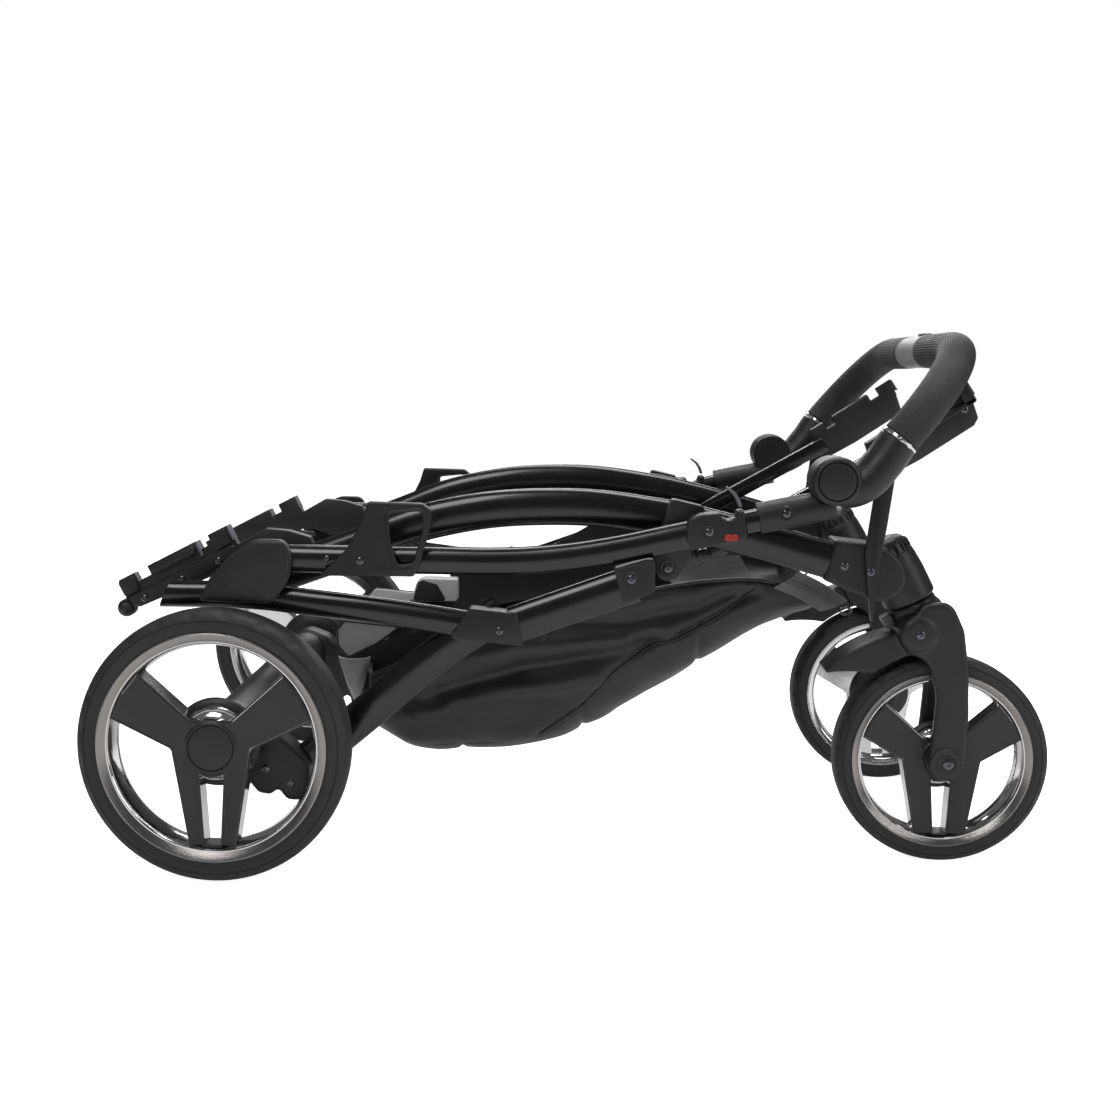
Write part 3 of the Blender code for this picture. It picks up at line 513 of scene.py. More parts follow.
def oval_tube(path, plane, height, side=1, name="tube", resolution=14):
    """A smooth tube through side-view points. Its section is an ellipse as wide as the plane."""
    obj = curve(
        name, [[to_frame(x, 0, z) for x, z in path]], kind="BEZIER", dimensions="3D", bevel_depth=height / 2,
        bevel_resolution=12, resolution_u=resolution, use_fill_caps=True,
    )
    obj.location.y = side * (plane[0] + plane[1]) / 2
    obj.scale.y = (plane[1] - plane[0]) / height
    return applied(obj)


def round_tube(points, radius, name="tube", resolution=5, closed=False):
    """A round tube through points of the frame."""
    return applied(
        curve(
            name, [points], closed, dimensions="3D", bevel_depth=radius, bevel_resolution=resolution,
            use_fill_caps=True,
        )
    )


def lathe(name, profile, segments=96, shift=None):
    """A profile of (radius, offset) or (radius, offset, material) turned about Y. It closes on itself.

    The shift may move each point: it takes the angle's index, the radius and the offset.
    """
    verts = []
    for step in range(segments):
        angle = 2 * math.pi * step / segments
        for point in profile:
            radius, offset = shift(step, *point[:2]) if shift else point[:2]
            verts.append((radius * math.cos(angle), offset, radius * math.sin(angle)))
    mesh = bpy.data.meshes.new(name)
    mesh.from_pydata(verts, [], quads(segments, len(profile), wrap_rows=True))
    for face in mesh.polygons:
        face.material_index = (*profile[face.index % len(profile)], 0)[2]
    return shown(name, cleaned(mesh))


def on_axle(obj, x, y, z, side=1):
    """Moves a turned piece to a lateral axis, its outer face away from the middle plane."""
    obj.data.transform(Matrix.Scale(side, 4, (0, 1, 0)))
    cleaned(obj.data)
    obj.location = (x, y, z)
    return obj


def turned(name, profile, where, side, material, angle, body, *nodes, segments=96):
    """A lathed piece on a lateral axis, painted, smoothed and placed."""
    made = on_axle(lathe(name, profile, segments), *where, side)
    return finished(made, material, angle, body, *nodes)


# ---------------------------------------------------------------- screws


SCREW_STEPS = 36


def screw(x, z, face, side, radius, proud=0.0018):
    """A domed head with a hexagon socket, standing on a lateral face."""
    socket = 0.42 * radius
    profile = [
        (0.0, proud * 0.2), (socket, proud * 0.2), (socket, proud), (0.72 * radius, 0.92 * proud),
        (0.94 * radius, 0.55 * proud), (radius, 0.0), (radius, -0.001), (0.0, -0.001),
    ]

    def hexagon(step, ring, offset):
        if abs(ring - socket) > 1e-9:
            return ring, offset
        turn = (2 * math.pi * step / SCREW_STEPS) % (math.pi / 3) - math.pi / 6
        return ring * math.cos(math.pi / 6) / math.cos(turn) * 1.05, offset

    return on_axle(lathe("head", profile, SCREW_STEPS, hexagon), *to_frame(x, side * face, z), side)


def washer(x, z, face, side, radius):
    """A low raised ring on a lateral face, as round a moulded screw recess."""
    hole = 0.62 * radius
    profile = [
        (hole, 0.0), (hole, 0.0006), (hole + 0.0006, 0.001), (radius - 0.0008, 0.001), (radius, 0.0),
        (radius, -0.001), (hole, -0.001),
    ]
    return on_axle(lathe("washer", profile, 48), *to_frame(x, side * face, z), side)


def fixings(name, body, places, kind=screw, material=STEEL):
    """Screws or rings on both sides of the chassis, each as (x, z, distance of its face, radius)."""
    for label, side in SIDES:
        made = [kind(x, z, face, side, radius) for x, z, face, radius in places]
        place(smooth(joined(f"{name}_{label}", made, material)), body)


# ---------------------------------------------------------------- wheels


NOTCHES = 24
STEPS_PER_NOTCH = 12
RIM_OUT = 0.842  # shares of the tyre's radius
RIM_IN = 0.765
TREAD_LINE = 0.928
NOTCH_TIP = 0.944
NOTCH_END = 0.985
NOTCH_DEPTH = 0.12  # share of the half width


def tyre(label, kind, middle, radius, half, side, body):
    """A tyre with a smooth wall, a fine line round it, and small V dents along both shoulders."""
    outer = [
        (RIM_OUT - 0.012, 0.7), (RIM_OUT - 0.006, 0.86), (0.872, 0.955), (0.9, 0.985),
        (TREAD_LINE - 0.004, 0.985), (TREAD_LINE, 0.955), (TREAD_LINE + 0.004, 0.985), (NOTCH_TIP, 0.965),
        (0.956, 0.935), (0.968, 0.885), (0.979, 0.81), (0.989, 0.69), (0.997, 0.48), (1.0, 0.23),
    ]
    inner = [(r, -w) for r, w in reversed(outer)]
    profile = [(r * radius, w * half) for r, w in outer + inner]

    def notch(step, ring, offset):
        share = ring / radius
        if not NOTCH_TIP < share < NOTCH_END:
            return ring, offset
        width = 0.5 + 2.3 * (share - NOTCH_TIP) / (NOTCH_END - NOTCH_TIP)
        stagger = 0 if offset > 0 else STEPS_PER_NOTCH // 2
        away = abs((step + stagger) % STEPS_PER_NOTCH - STEPS_PER_NOTCH / 2)
        return ring, offset * (1 - NOTCH_DEPTH * max(0.0, 1 - (away / width) ** 4))

    tread = lathe(f"{kind}_tyre_tread_{label}", profile, NOTCHES * STEPS_PER_NOTCH, notch)
    made = on_axle(tread, *middle, side)
    finished(made, RUBBER, 30, body, f"{kind}_tyre_{label}")


def rim(label, kind, middle, radius, half, side, body):
    """The flat turned ring, a fine step inside it, and the deep bright barrel."""
    ring, barrel = 0, 1
    shares = [
        (RIM_OUT - 0.004, 0.8, ring), (RIM_OUT, 0.93, ring), (RIM_OUT - 0.01, 0.955, ring),
        (RIM_IN + 0.016, 0.82, ring), (RIM_IN + 0.012, 0.79, barrel), (RIM_IN + 0.004, 0.79, ring),
        (RIM_IN, 0.77, barrel), (RIM_IN - 0.008, 0.7, barrel), (RIM_IN - 0.024, 0.35, barrel),
        (RIM_IN - 0.03, -0.3, barrel), (RIM_IN - 0.022, -0.62, barrel), (RIM_IN - 0.004, -0.8, barrel),
        (RIM_IN + 0.02, -0.9, barrel), (RIM_OUT - 0.01, -0.93, barrel), (RIM_OUT - 0.002, -0.8, barrel),
    ]
    profile = [(r * radius, w * half, slot) for r, w, slot in shares]
    made = on_axle(lathe(f"{kind}_rim_{label}", profile, 192), *middle, side)
    made.data.materials.append(RING_METAL)  # material 0, the ring; the barrel's comes next
    finished(made, BRIGHT_METAL, 30, body, f"{kind}_wheel_{label}")


SPLIT_BLADES = {"rear": (0.292, 0.17), "front": (0.365, 0.24)}  # half widths at the hub and at the rim


def blade_outline(size, split_blade):
    """The spoke star: two upper blades and a split lower one, round the axle."""
    shoulder, foot = split_blade
    reach = (RIM_IN - 0.004) * size
    upper, lower = math.radians(45.5), math.radians(15.5)
    half = [
        (0.15 * size, 0.2 * size, 0.02 * size),
        (reach * math.cos(upper), reach * math.sin(upper), 0),
        (reach * math.cos((upper + lower) / 2), reach * math.sin((upper + lower) / 2), 0),
        (reach * math.cos(lower), reach * math.sin(lower), 0),
        (shoulder * size, -0.014 * size, 0.04 * size), (foot * size, -0.735 * size, 0),
    ]
    return rounded(half + [(-corner[0], *corner[1:]) for corner in reversed(half)], 0)


def slot_outline(size):
    """The slot of the lower blade, round at the hub and closed by a small bridge at the rim."""
    hub_arc = []
    for step in range(9):
        angle = math.radians(-115 + 50 * step / 8)
        hub_arc.append((0.215 * math.cos(angle), 0.215 * math.sin(angle)))
    corners = hub_arc + [(0.06, -0.722), (-0.06, -0.722)]
    return [(x * size, z * size) for x, z in corners]


def spokes(label, kind, middle, radius, half, side, body):
    """The star: satin black faces with a groove inside their edge, over a body with bright side walls."""
    star, slot = blade_outline(radius, SPLIT_BLADES[kind]), slot_outline(radius)
    face = 0.78 * half
    border, groove = 0.011 * radius, 0.015 * radius
    layers = (
        ("core", [star, slot], (-0.32 * half, face - 0.0016), BRIGHT_METAL),
        ("border", [star, shrunk(star, border), shrunk(slot, -border), slot], (face - 0.0016, face), PLASTIC),
        ("face", [shrunk(star, groove), shrunk(slot, -groove)], (face - 0.0016, face + 0.0002), PLASTIC),
    )
    for name, outlines, plane, material in layers:
        moved = [[(x + middle[0] - REAR_AXLE.x, z + middle[2]) for x, z in outline] for outline in outlines]
        made = plate(moved, [abs(middle[1]) + y for y in plane], side)
        made.data.transform(Matrix.Translation(-Vector(middle)))
        made.location = middle
        finished(made, material, 25, body, name=f"{kind}_spoke_{name}_{label}")


def hub(label, kind, middle, radius, half, side, body):
    """The cap with its dark groove, the bright dome behind it, and the black drum on the inner side."""
    cap = [
        (0.0, 0.9), (0.12, 0.89), (0.158, 0.87), (0.164, 0.83), (0.167, 0.77), (0.172, 0.77), (0.175, 0.85),
        (0.183, 0.85), (0.2, 0.78), (0.208, 0.6), (0.208, 0.3), (0.0, 0.3),
    ]
    dome = [(0.0, 0.5), (0.17, 0.5), (0.215, 0.42), (0.25, 0.26), (0.272, 0.05), (0.28, -0.2), (0.0, -0.2)]
    drum = [
        (0.0, -0.15), (0.3, -0.15), (0.322, -0.26), (0.33, -0.42), (0.318, -0.62), (0.27, -0.8),
        (0.2, -0.9), (0.0, -0.92),
    ]
    rows = (("cap", cap, PLASTIC), ("dome", dome, BRIGHT_METAL), ("drum", drum, PLASTIC))
    for name, shares, material in rows:
        profile = [(r * radius, w * half) for r, w in shares]
        turned(f"{kind}_hub_{name}_{label}", profile, middle, side, material, 30, body)


def wheels():
    kinds = (
        ("rear", REAR_AXLE, REAR_RADIUS, REAR_HALF_WIDTH),
        ("front", FRONT_AXLE, FRONT_RADIUS, FRONT_HALF_WIDTH),
    )
    for kind, axle, radius, half in kinds:
        for label, side in SIDES:
            middle = (axle.x, -side * axle.y, axle.z)
            body = f"{kind}_wheel_{label}"
            for build in (tyre, rim, spokes, hub):
                build(label, kind, middle, radius, half, side, body)


# ---------------------------------------------------------------- tubes


TUBES = {
    "front_leg": (
        [
            (0.022, 0.303), (0.128, 0.341), (0.226, 0.376), (0.354, 0.391), (0.472, 0.38), (0.56, 0.36),
            (0.652, 0.3345),
        ],
        FRONT_LEG_PLANE,
        0.04,
    ),
    "side_tube": (
        [
            (0.0515, 0.3385), (0.135, 0.3375), (0.224, 0.3375), (0.3, 0.337), (0.35, 0.34), (0.41, 0.3485),
            (0.4965, 0.3672),
        ],
        SIDE_PLANE,
        0.03,
    ),
    "lower_tube": (
        [
            (-0.085, 0.299), (0.04, 0.297), (0.096, 0.291), (0.16, 0.284), (0.214, 0.277), (0.268, 0.269),
        ],
        SIDE_PLANE,
        0.029,
    ),
    "rear_leg": (
        [(0.0905, 0.1145), (0.1485, 0.163), (0.2355, 0.236), (0.299, 0.28)],
        REAR_LEG_PLANE,
        0.04,
    ),
    "brace_tube": ([(0.313, 0.2693), (0.38, 0.2935), (0.44, 0.315)], SIDE_PLANE, 0.04),
}


def tubes():
    for kind, (path, plane, height) in TUBES.items():
        for label, side in SIDES:
            tube = oval_tube(path, plane, height, side, f"{kind}_enamel_{label}")
            if kind == "lower_tube":
                cut_obliquely(tube)
            node = f"{kind}_{label}"
            finished(tube, ENAMEL, 45, BODY_OF[node], node)
    middle, size = middle_of("front_cross_tube"), size_of("front_cross_tube")
    ends = [(middle.x, y, middle.z) for y in (-size.y / 2, size.y / 2)]
    cross = round_tube(ends, size.z / 2, "front_cross_enamel", 8)
    finished(cross, ENAMEL, 45, "main_frame", "front_cross_tube")


def cut_obliquely(tube):
    """Cuts the tube's rear end off square to a slanting line."""
    top, foot = to_frame(-0.0455, 0, 0.33), to_frame(-0.0735, 0, 0.27)
    along = (top - foot).normalized()
    normal = Vector((-along.z, 0, along.x))
    with editing(tube.data) as work:
        everything = work.verts[:] + work.edges[:] + work.faces[:]
        cut = bmesh.ops.bisect_plane(work, geom=everything, plane_co=foot, plane_no=normal, clear_outer=True)
        edges = [item for item in cut["geom_cut"] if isinstance(item, bmesh.types.BMEdge)]
        bmesh.ops.edgeloop_fill(work, edges=edges)


def brace_brackets():
    """The moulded end of the brace, over the tube."""
    end = [(0.4175, 0.331), (0.451, 0.3405), (0.4605, 0.3405, 0.002), (0.4605, 0.308), (0.428, 0.2955)]
    for label, side in SIDES:
        bracket = plate([rounded(end, 0.003)], (0.2255, BRACKET_FACE), side, 0.0012)
        finished(bracket, PLASTIC, 38, "main_frame", name=f"brace_bracket_{label}")


# ---------------------------------------------------------------- moulded brackets


def brackets():
    """CAD mouldings whose shape is right: they get rounded edges and a finish."""
    rows = (
        ("elbow_bracket", 0.0012, 3, PLASTIC), ("leg_sleeve", 0.0012, 3, PLASTIC),
        ("receiver_strut", 0.001, 2, PLASTIC), ("rear_receiver", 0.001, 2, PLASTIC),
        ("front_receiver", 0.001, 2, PLASTIC), ("receiver_arm", 0.001, 2, ENAMEL),
        ("fold_trigger", 0.0005, 2, GREY), ("swivel_lock", 0.0012, 3, GREY),
    )
    for label, _ in SIDES:
        for node, *edge in rows:
            softened(f"{node}_{label}", *edge)
    softened("brake_pedal", 0.0015, 3)
    softened("bar_button", 0.0008, 2, GREY)


def latch_housings():
    """The fold latch at the end of each side tube, with the safety button's pocket in the right one."""
    outline = [
        (0.492, 0.3835, 0.014), (0.506, 0.3895, 0.01), (0.5255, 0.391, 0.001), (0.528, 0.386, 0.003),
        (0.535, 0.383, 0.004), (0.5415, 0.387, 0.003), (0.544, 0.393, 0.001), (0.5505, 0.394, 0.002),
        (0.5545, 0.364, 0.006), (0.492, 0.35, 0.014),
    ]
    for label, side in SIDES:
        housing = plate([rounded(outline, 0.003)], (0.2255, HANDLE_FACE), side, 0.0028)
        if side < 0:
            pocket = plate([button_outline(0.0005)], (0.2455, 0.26), side)
            housing = carved(housing, pocket)
        name = f"latch_housing_moulding_{label}"
        finished(housing, PLASTIC, 40, "handle_frame", f"latch_housing_{label}", name=name)


def handle_sleeves():
    """The oval sleeve on the handle's inner tube, cut round by the angle hub, whose inner half it carries."""
    path = [(0.5665, 0.3845), (0.59, 0.3895), (0.643, 0.3995)]
    half_hub = [
        (0.0, 0.0), (0.0235, 0.0), (0.0245, -0.001), (0.0245, -0.013), (0.023, -0.0143), (0.0, -0.0143),
    ]
    for label, side in SIDES:
        sleeve = oval_tube(path, (0.2245, HANDLE_FACE), 0.0325, side, f"handle_sleeve_moulding_{label}")
        split = to_frame(BAR_PIVOT[0], side * HUB_SPLIT, BAR_PIVOT[1])
        clearance = lathe("clearance", [(0.0, 0.05), (0.0258, 0.05), (0.0258, 0.0), (0.0, 0.0)])
        sleeve = carved(sleeve, on_axle(clearance, *split, side))
        finished(sleeve, PLASTIC, 40, "handle_frame", f"handle_sleeve_{label}")
        neck = oval_tube([(0.553, 0.38), (0.575, 0.385)], (0.229, 0.247), 0.024, side)
        finished(neck, ENAMEL, 45, "handle_frame", name=f"handle_inner_tube_{label}")
        turned(f"angle_hub_inner_{label}", half_hub, split, side, PLASTIC, 40, "handle_frame")


def fold_covers():
    """The leaf over the fold knuckle: a domed skin inside a fine raised edge."""
    leaf = [
        (0.04, 0.3605, 0.03), (0.0735, 0.36, 0.012), (0.08, 0.343, 0.04), (0.0765, 0.315, 0.05),
        (0.058, 0.2925, 0.012), (0.02, 0.2925, 0.004), (-0.019, 0.2945, 0.003), (-0.008, 0.318, 0.02),
        (0.014, 0.342, 0.03),
    ]
    inner, outer = COVER_PLANE
    shell = rounded(leaf, 0.01)
    for label, side in SIDES:
        edge = plate([shell], (inner, outer - 0.0035), side, 0.0016)
        skin = domed(shrunk(shell, 0.0012), outer - 0.0036, side, 0.0034, 0.003)
        cover = joined(f"fold_cover_skin_{label}", [edge, skin], LEATHER)
        place(smooth(cover, 50), "handle_frame", f"fold_cover_{label}")


def carry_loops():
    """The looped bracket: a thin foot on the tube and a thick rounded rim round its opening."""
    outer = [
        (0.162, 0.401, 0.003), (0.219, 0.3995, 0.006), (0.229, 0.392, 0.006), (0.228, 0.378, 0.02),
        (0.2145, 0.33, 0.01), (0.209, 0.3225, 0.003), (0.11, 0.3225, 0.002), (0.14, 0.352, 0.04),
        (0.156, 0.382, 0.03),
    ]
    hole = [
        (0.182, 0.39, 0.005), (0.222, 0.394, 0.008), (0.2215, 0.372, 0.02), (0.211, 0.336, 0.008),
        (0.192, 0.332, 0.008), (0.184, 0.36, 0.02),
    ]
    inner_face, outer_face = COVER_PLANE
    for label, side in SIDES:
        outlines = [rounded(outer, 0.003), rounded(hole, 0.005)]
        foot = plate(outlines, (inner_face, outer_face - 0.002), side, 0.0022)
        bead = [to_frame(x, side * (outer_face - 0.0024), z) for x, z in rounded(hole, 0.006, 5)]
        rim_bead = round_tube(bead, 0.0019, closed=True)
        loop = joined(f"carry_loop_moulding_{label}", [foot, rim_bead], PLASTIC)
        place(smooth(loop, 50), "handle_frame", f"carry_loop_{label}")


def button_outline(clearance):
    """The long rounded outline of the safety button, let out by a clearance."""
    middle, half = middle_of("safety_button"), size_of("safety_button") / 2
    x, z = middle.x - REAR_AXLE.x, middle.z
    long, short = half.x + clearance, half.z + clearance
    return rounded([(x + a * long, z + b * short) for a, b in ((-1, -1), (1, -1), (1, 1), (-1, 1))], short)


def safety_button():
    """The red slide button, with a crowned face."""
    low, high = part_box("safety_button")
    button = plate([button_outline(0)], (-high.y, -low.y), -1, 0.0014)
    finished(button, RED, 60, "safety_button", "safety_button", name="safety_button_cap")


# ---------------------------------------------------------------- cabin receivers


REAR_RECEIVER = ((-0.131, 0.3035), math.radians(27), 0.1405)
FRONT_RECEIVER = ((0.6845, 0.4595), math.radians(33), 0.1215)


def on_receiver(receiver, along, up):
    """A side-view point at a share of the receiver's length, and a height over its top edge."""
    (x, z), slope, length = receiver
    reach = along * length
    sin, cos = math.sin(slope), math.cos(slope)
    return x + reach * cos - up * sin, z + reach * sin + up * cos


def receiver_strip(receiver, start, end, low, high, plane, side, edge, radius):
    """A moulded block in the receiver's own slanting directions."""
    ends = ((start, low), (end, low), (end, high), (start, high))
    corners = [on_receiver(receiver, *corner) for corner in ends]
    return plate([rounded(corners, radius)], plane, side, edge)


def receiver_details():
    """The raised bars, framed faces, pale stop strips and end knobs of the cabin receivers."""
    inner, outer = RECEIVER_PLANE
    rows = (
        (REAR_RECEIVER, 0.29, 0.68, -0.0125, -0.0025, 0.0018, 0.004),
        (REAR_RECEIVER, 0.02, 0.98, -0.0345, -0.0215, 0.0018, 0.004),
        (REAR_RECEIVER, 0.0, 0.13, -0.02, -0.0015, 0.0014, 0.003),
        (REAR_RECEIVER, 0.84, 0.97, -0.02, -0.0015, 0.0014, 0.003),
        (FRONT_RECEIVER, 0.02, 0.98, -0.0235, -0.0175, 0.0014, 0.003),
        (FRONT_RECEIVER, 0.88, 0.985, -0.0235, -0.0015, 0.0014, 0.003),
    )
    stop_rows = (
        (REAR_RECEIVER, 0.705, 0.722, -0.018, 0.004), (REAR_RECEIVER, 0.985, 1.002, -0.018, 0.003),
        (FRONT_RECEIVER, 0.985, 1.0, -0.016, 0.003),
    )
    knob = [
        (0.0, 0.0075), (0.0045, 0.007), (0.0078, 0.0045), (0.0092, 0.001), (0.0092, -0.001),
        (0.007, -0.002), (0.0, -0.002),
    ]
    for label, side in SIDES:
        bars = [receiver_strip(*row[:5], (outer - 0.002, outer + 0.0045), side, *row[5:]) for row in rows]
        place(smooth(joined(f"receiver_ribs_{label}", bars, PLASTIC), 45), "main_frame")
        stops = [
            receiver_strip(*row, 0.0, (inner, outer + proud), side, 0.0006, 0.001)
            for *row, proud in stop_rows
        ]
        place(smooth(joined(f"receiver_stops_{label}", stops, GREY), 45), "main_frame")
        where = to_frame(-0.1225, side * outer, 0.273)
        turned(f"receiver_knob_{label}", knob, where, side, PLASTIC, 40, "main_frame", segments=48)


# ---------------------------------------------------------------- casters


def on_caster(obj, side):
    """Stands a piece turned about Y on the caster axis, its origin at the housing's mouth."""
    turn = Matrix.Rotation(-CASTER_TILT, 4, "Y") @ Matrix.Rotation(math.pi / 2, 4, "X")
    mouth = to_frame(CASTER_TOP[0], side * FRONT_WHEEL_Y, CASTER_TOP[1])
    obj.data.transform(Matrix.Translation(mouth) @ turn)
    return obj


def housings():
    """The caster housing: a domed barrel with a ribbed cap, fused to the sleeve that takes the leg."""
    barrel = [
        (0.0, 0.0735), (0.012, 0.0735), (0.02, 0.0705), (0.0235, 0.065), (0.0245, 0.056), (0.025, 0.0535),
        (0.0268, 0.05), (0.0285, 0.03), (0.0285, 0.002), (0.0272, 0.0002), (0.0, 0.0002),
    ]
    sleeve = [
        (0.6508, 0.359, 0.003), (0.69, 0.3545, 0.02), (0.716, 0.344, 0.03), (0.7275, 0.32, 0.03),
        (0.719, 0.298, 0.02), (0.696, 0.2915, 0.01), (0.64, 0.3155, 0.003),
    ]
    collar = [(0.0262, 0.0505), (0.0262, 0.0535), (0.025, 0.055), (0.0235, 0.055), (0.0235, 0.0505)]
    for label, side in SIDES:
        post = on_caster(lathe("post", barrel, 72), side)
        arm = plate([rounded(sleeve, 0.004)], (0.16, 0.2065), side, 0.004)
        made = fused(f"caster_housing_moulding_{label}", [post, arm], 0.0016, 3, PLASTIC)
        place(made, "main_frame", f"caster_housing_{label}")
        ribs = [on_caster(rib(2 * math.pi * step / 20), side) for step in range(20)]
        place(smooth(joined(f"caster_cap_ribs_{label}", ribs, PLASTIC), 45), "main_frame")
        ring = on_caster(lathe(f"caster_cap_collar_{label}", collar, 72), side)
        finished(ring, PLASTIC, 40, "main_frame")


def rib(angle, reach=0.0252, low=0.056, high=0.0655):
    """A short rib standing along the barrel, which is turned about Y before it is placed."""
    x, z = reach * math.cos(angle), reach * math.sin(angle)
    rows = ((1, low), (0.985, high - 0.003), (0.9, high))
    return round_tube([(x * share, y, z * share) for share, y in rows], 0.0013, resolution=2)


def mudguard(side):
    """The curved guard behind the fork's shoulder, concentric with the tyre."""
    low, high, steps = math.radians(108), math.radians(143), 20
    inner, outer = [], []
    for step in range(steps + 1):
        share = step / steps
        angle = low + (high - low) * share
        inside = FRONT_RADIUS + 0.008 + 0.036 * max(0, share - 0.6) / 0.4
        outside = FRONT_RADIUS + 0.034 + 0.013 * share
        for edge, radius in ((inner, inside), (outer, outside)):
            edge.append((WHEELBASE + radius * math.cos(angle), FRONT_RADIUS + radius * math.sin(angle)))
    return plate([outer + inner[::-1]], (0.1315, 0.1805), side, 0.002)


KNUCKLE = (0.745, 0.256)
KNUCKLE_REACH = 0.0388
FORK_FACE = 0.1905
FORK_BLADES = ((0.1215, 0.1333), (0.1787, FORK_FACE))


def fork_leg(plane, side):
    """One fork blade, from the round shoulder by the crown to the round end at the axle."""
    end_x, end_z, end_radius = WHEELBASE + 0.002, FRONT_RADIUS, 0.0197
    outline = [
        (0.748, 0.2875, 0.012), (0.778, 0.2925, 0.02), (0.793, 0.26, 0.03), (0.799, 0.2161, 0.06),
        (0.8004, 0.1654, 0.05), (end_x + end_radius, end_z, 0.02),
        (end_x + 0.6 * end_radius, end_z - end_radius, 0.02),
        (end_x - 0.6 * end_radius, end_z - end_radius, 0.02), (end_x - end_radius, end_z, 0.02),
        (0.763, 0.15, 0.04), (0.766, 0.188, 0.04), (0.756, 0.226, 0.03), (0.73, 0.236, 0.015),
        (0.728, 0.26, 0.015),
    ]
    return plate([rounded(outline, 0.005, 8)], plane, side, 0.0045)


def forks():
    """The swivel fork: crown, shoulder lobe, two rounded legs and the mudguard run together."""
    crown = [
        (0.0, -0.0006), (0.0235, -0.0006), (0.0258, -0.003), (0.0262, -0.01), (0.0262, -0.03), (0.0, -0.03),
    ]
    knuckle = [
        (0.0, KNUCKLE_REACH), (0.012, KNUCKLE_REACH), (0.017, KNUCKLE_REACH - 0.0012),
        (0.02, KNUCKLE_REACH - 0.0045), (0.0212, KNUCKLE_REACH - 0.01), (0.0212, -KNUCKLE_REACH + 0.01),
        (0.019, -KNUCKLE_REACH + 0.004), (0.0, -KNUCKLE_REACH + 0.002),
    ]
    boss = [
        (0.0, 0.0016), (0.0092, 0.0016), (0.0102, 0.0026), (0.016, 0.0026), (0.0175, 0.001),
        (0.0175, -0.001), (0.0, -0.001),
    ]
    for label, side in SIDES:
        post = on_caster(lathe("post", crown, 72), side)
        middle = to_frame(KNUCKLE[0], side * FRONT_WHEEL_Y, KNUCKLE[1])
        ball = on_axle(lathe("knuckle", knuckle, 72), *middle, side)
        legs = [fork_leg(plane, side) for plane in FORK_BLADES]
        made = fused(f"front_fork_moulding_{label}", [post, ball, *legs, mudguard(side)], 0.0017, 4, PLASTIC)
        place(made, f"fork_{label}", f"front_fork_{label}")
        where = to_frame(WHEELBASE, side * FORK_FACE, FRONT_RADIUS)
        turned(f"fork_end_boss_{label}", boss, where, side, PLASTIC, 40, f"fork_{label}", segments=64)


# ---------------------------------------------------------------- push bar


def bar_direction():
    return (Vector(BAR_CORNER) - Vector(BAR_ROOT)).normalized()


def along_bar(distance):
    """A side-view point on the bar's leg, measured from its root."""
    return tuple(Vector(BAR_ROOT) + bar_direction() * distance)


def grip_path(side):
    """Points of one half of the U-shaped bar: its leg, its round bend, and its half of the cross piece."""
    leg = (Vector(BAR_CORNER) - Vector(BAR_ROOT)).length
    start, straight, bend, cross = 0.0048, 14, 40, 16
    half = []
    for step in range(straight):
        half.append((along_bar(start + (leg - BAR_BEND - start) * step / straight), BAR_Y))
    for step in range(bend + 1):
        angle = math.pi / 2 * step / bend
        drop = leg - BAR_BEND + BAR_BEND * math.sin(angle)
        half.append((along_bar(drop), BAR_Y - BAR_BEND + BAR_BEND * math.cos(angle)))
    last, first = SLEEVE_HALF + GAP, BAR_Y - BAR_BEND
    half += [(BAR_CORNER, first + (last - first) * step / cross) for step in range(1, cross + 1)]
    return [to_frame(x, side * y, z) for (x, z), y in half]


FLUTES = 42
POINTS_PER_FLUTE = 5
FLUTE_DEPTH = 0.00055


def fluted_grip(label, side, *nodes):
    """A soft cover with fine flutes along the bar, drawn in at its two ends."""
    path = grip_path(side)
    count = len(path)
    around = FLUTES * POINTS_PER_FLUTE
    plane_normal = Vector((-bar_direction().y, 0, bar_direction().x))
    verts = []
    for i, point in enumerate(path):
        tangent = (path[min(i + 1, count - 1)] - path[max(i - 1, 0)]).normalized()
        across = plane_normal.cross(tangent).normalized()
        pull = {0: 0.0022, 1: 0.0004, count - 1: 0.0014, count - 2: 0.0003}.get(i, 0.0)
        for j in range(around):
            angle = 2 * math.pi * j / around
            groove = FLUTE_DEPTH if j % POINTS_PER_FLUTE == 0 else 0.0
            reach = BAR_RADIUS - groove - pull
            verts.append(point + (across * math.cos(angle) + plane_normal * math.sin(angle)) * reach)
    caps = [tuple(range(around)), tuple(range((count - 1) * around, count * around))]
    cover = built(f"grip_cover_{label}", verts, quads(count, around) + caps)
    return finished(cover, GRIP, 60, "push_bar", *nodes)


def push_bar():
    for (label, side), nodes in zip(SIDES, (["push_bar_grip"], [])):
        fluted_grip(label, side, *nodes)
    half = [
        (0.012, SLEEVE_HALF), (0.0186, SLEEVE_HALF), (0.0192, SLEEVE_HALF - 0.0006),
        (0.0192, SLEEVE_HALF - 0.003), (0.0185, SLEEVE_HALF - 0.0036),
    ]
    profile = [(radius, -offset) for radius, offset in half] + [(0.0188, 0.0)] + half[::-1]
    where = to_frame(BAR_CORNER[0], 0, BAR_CORNER[1])
    turned("centre_sleeve_moulding", profile, where, 1, PALE, 30, "push_bar", "centre_sleeve")
    direction = Vector((bar_direction().x, 0, bar_direction().y))
    for label, side in SIDES:
        trim_ring(label, side, direction)
        elbow(label, side)


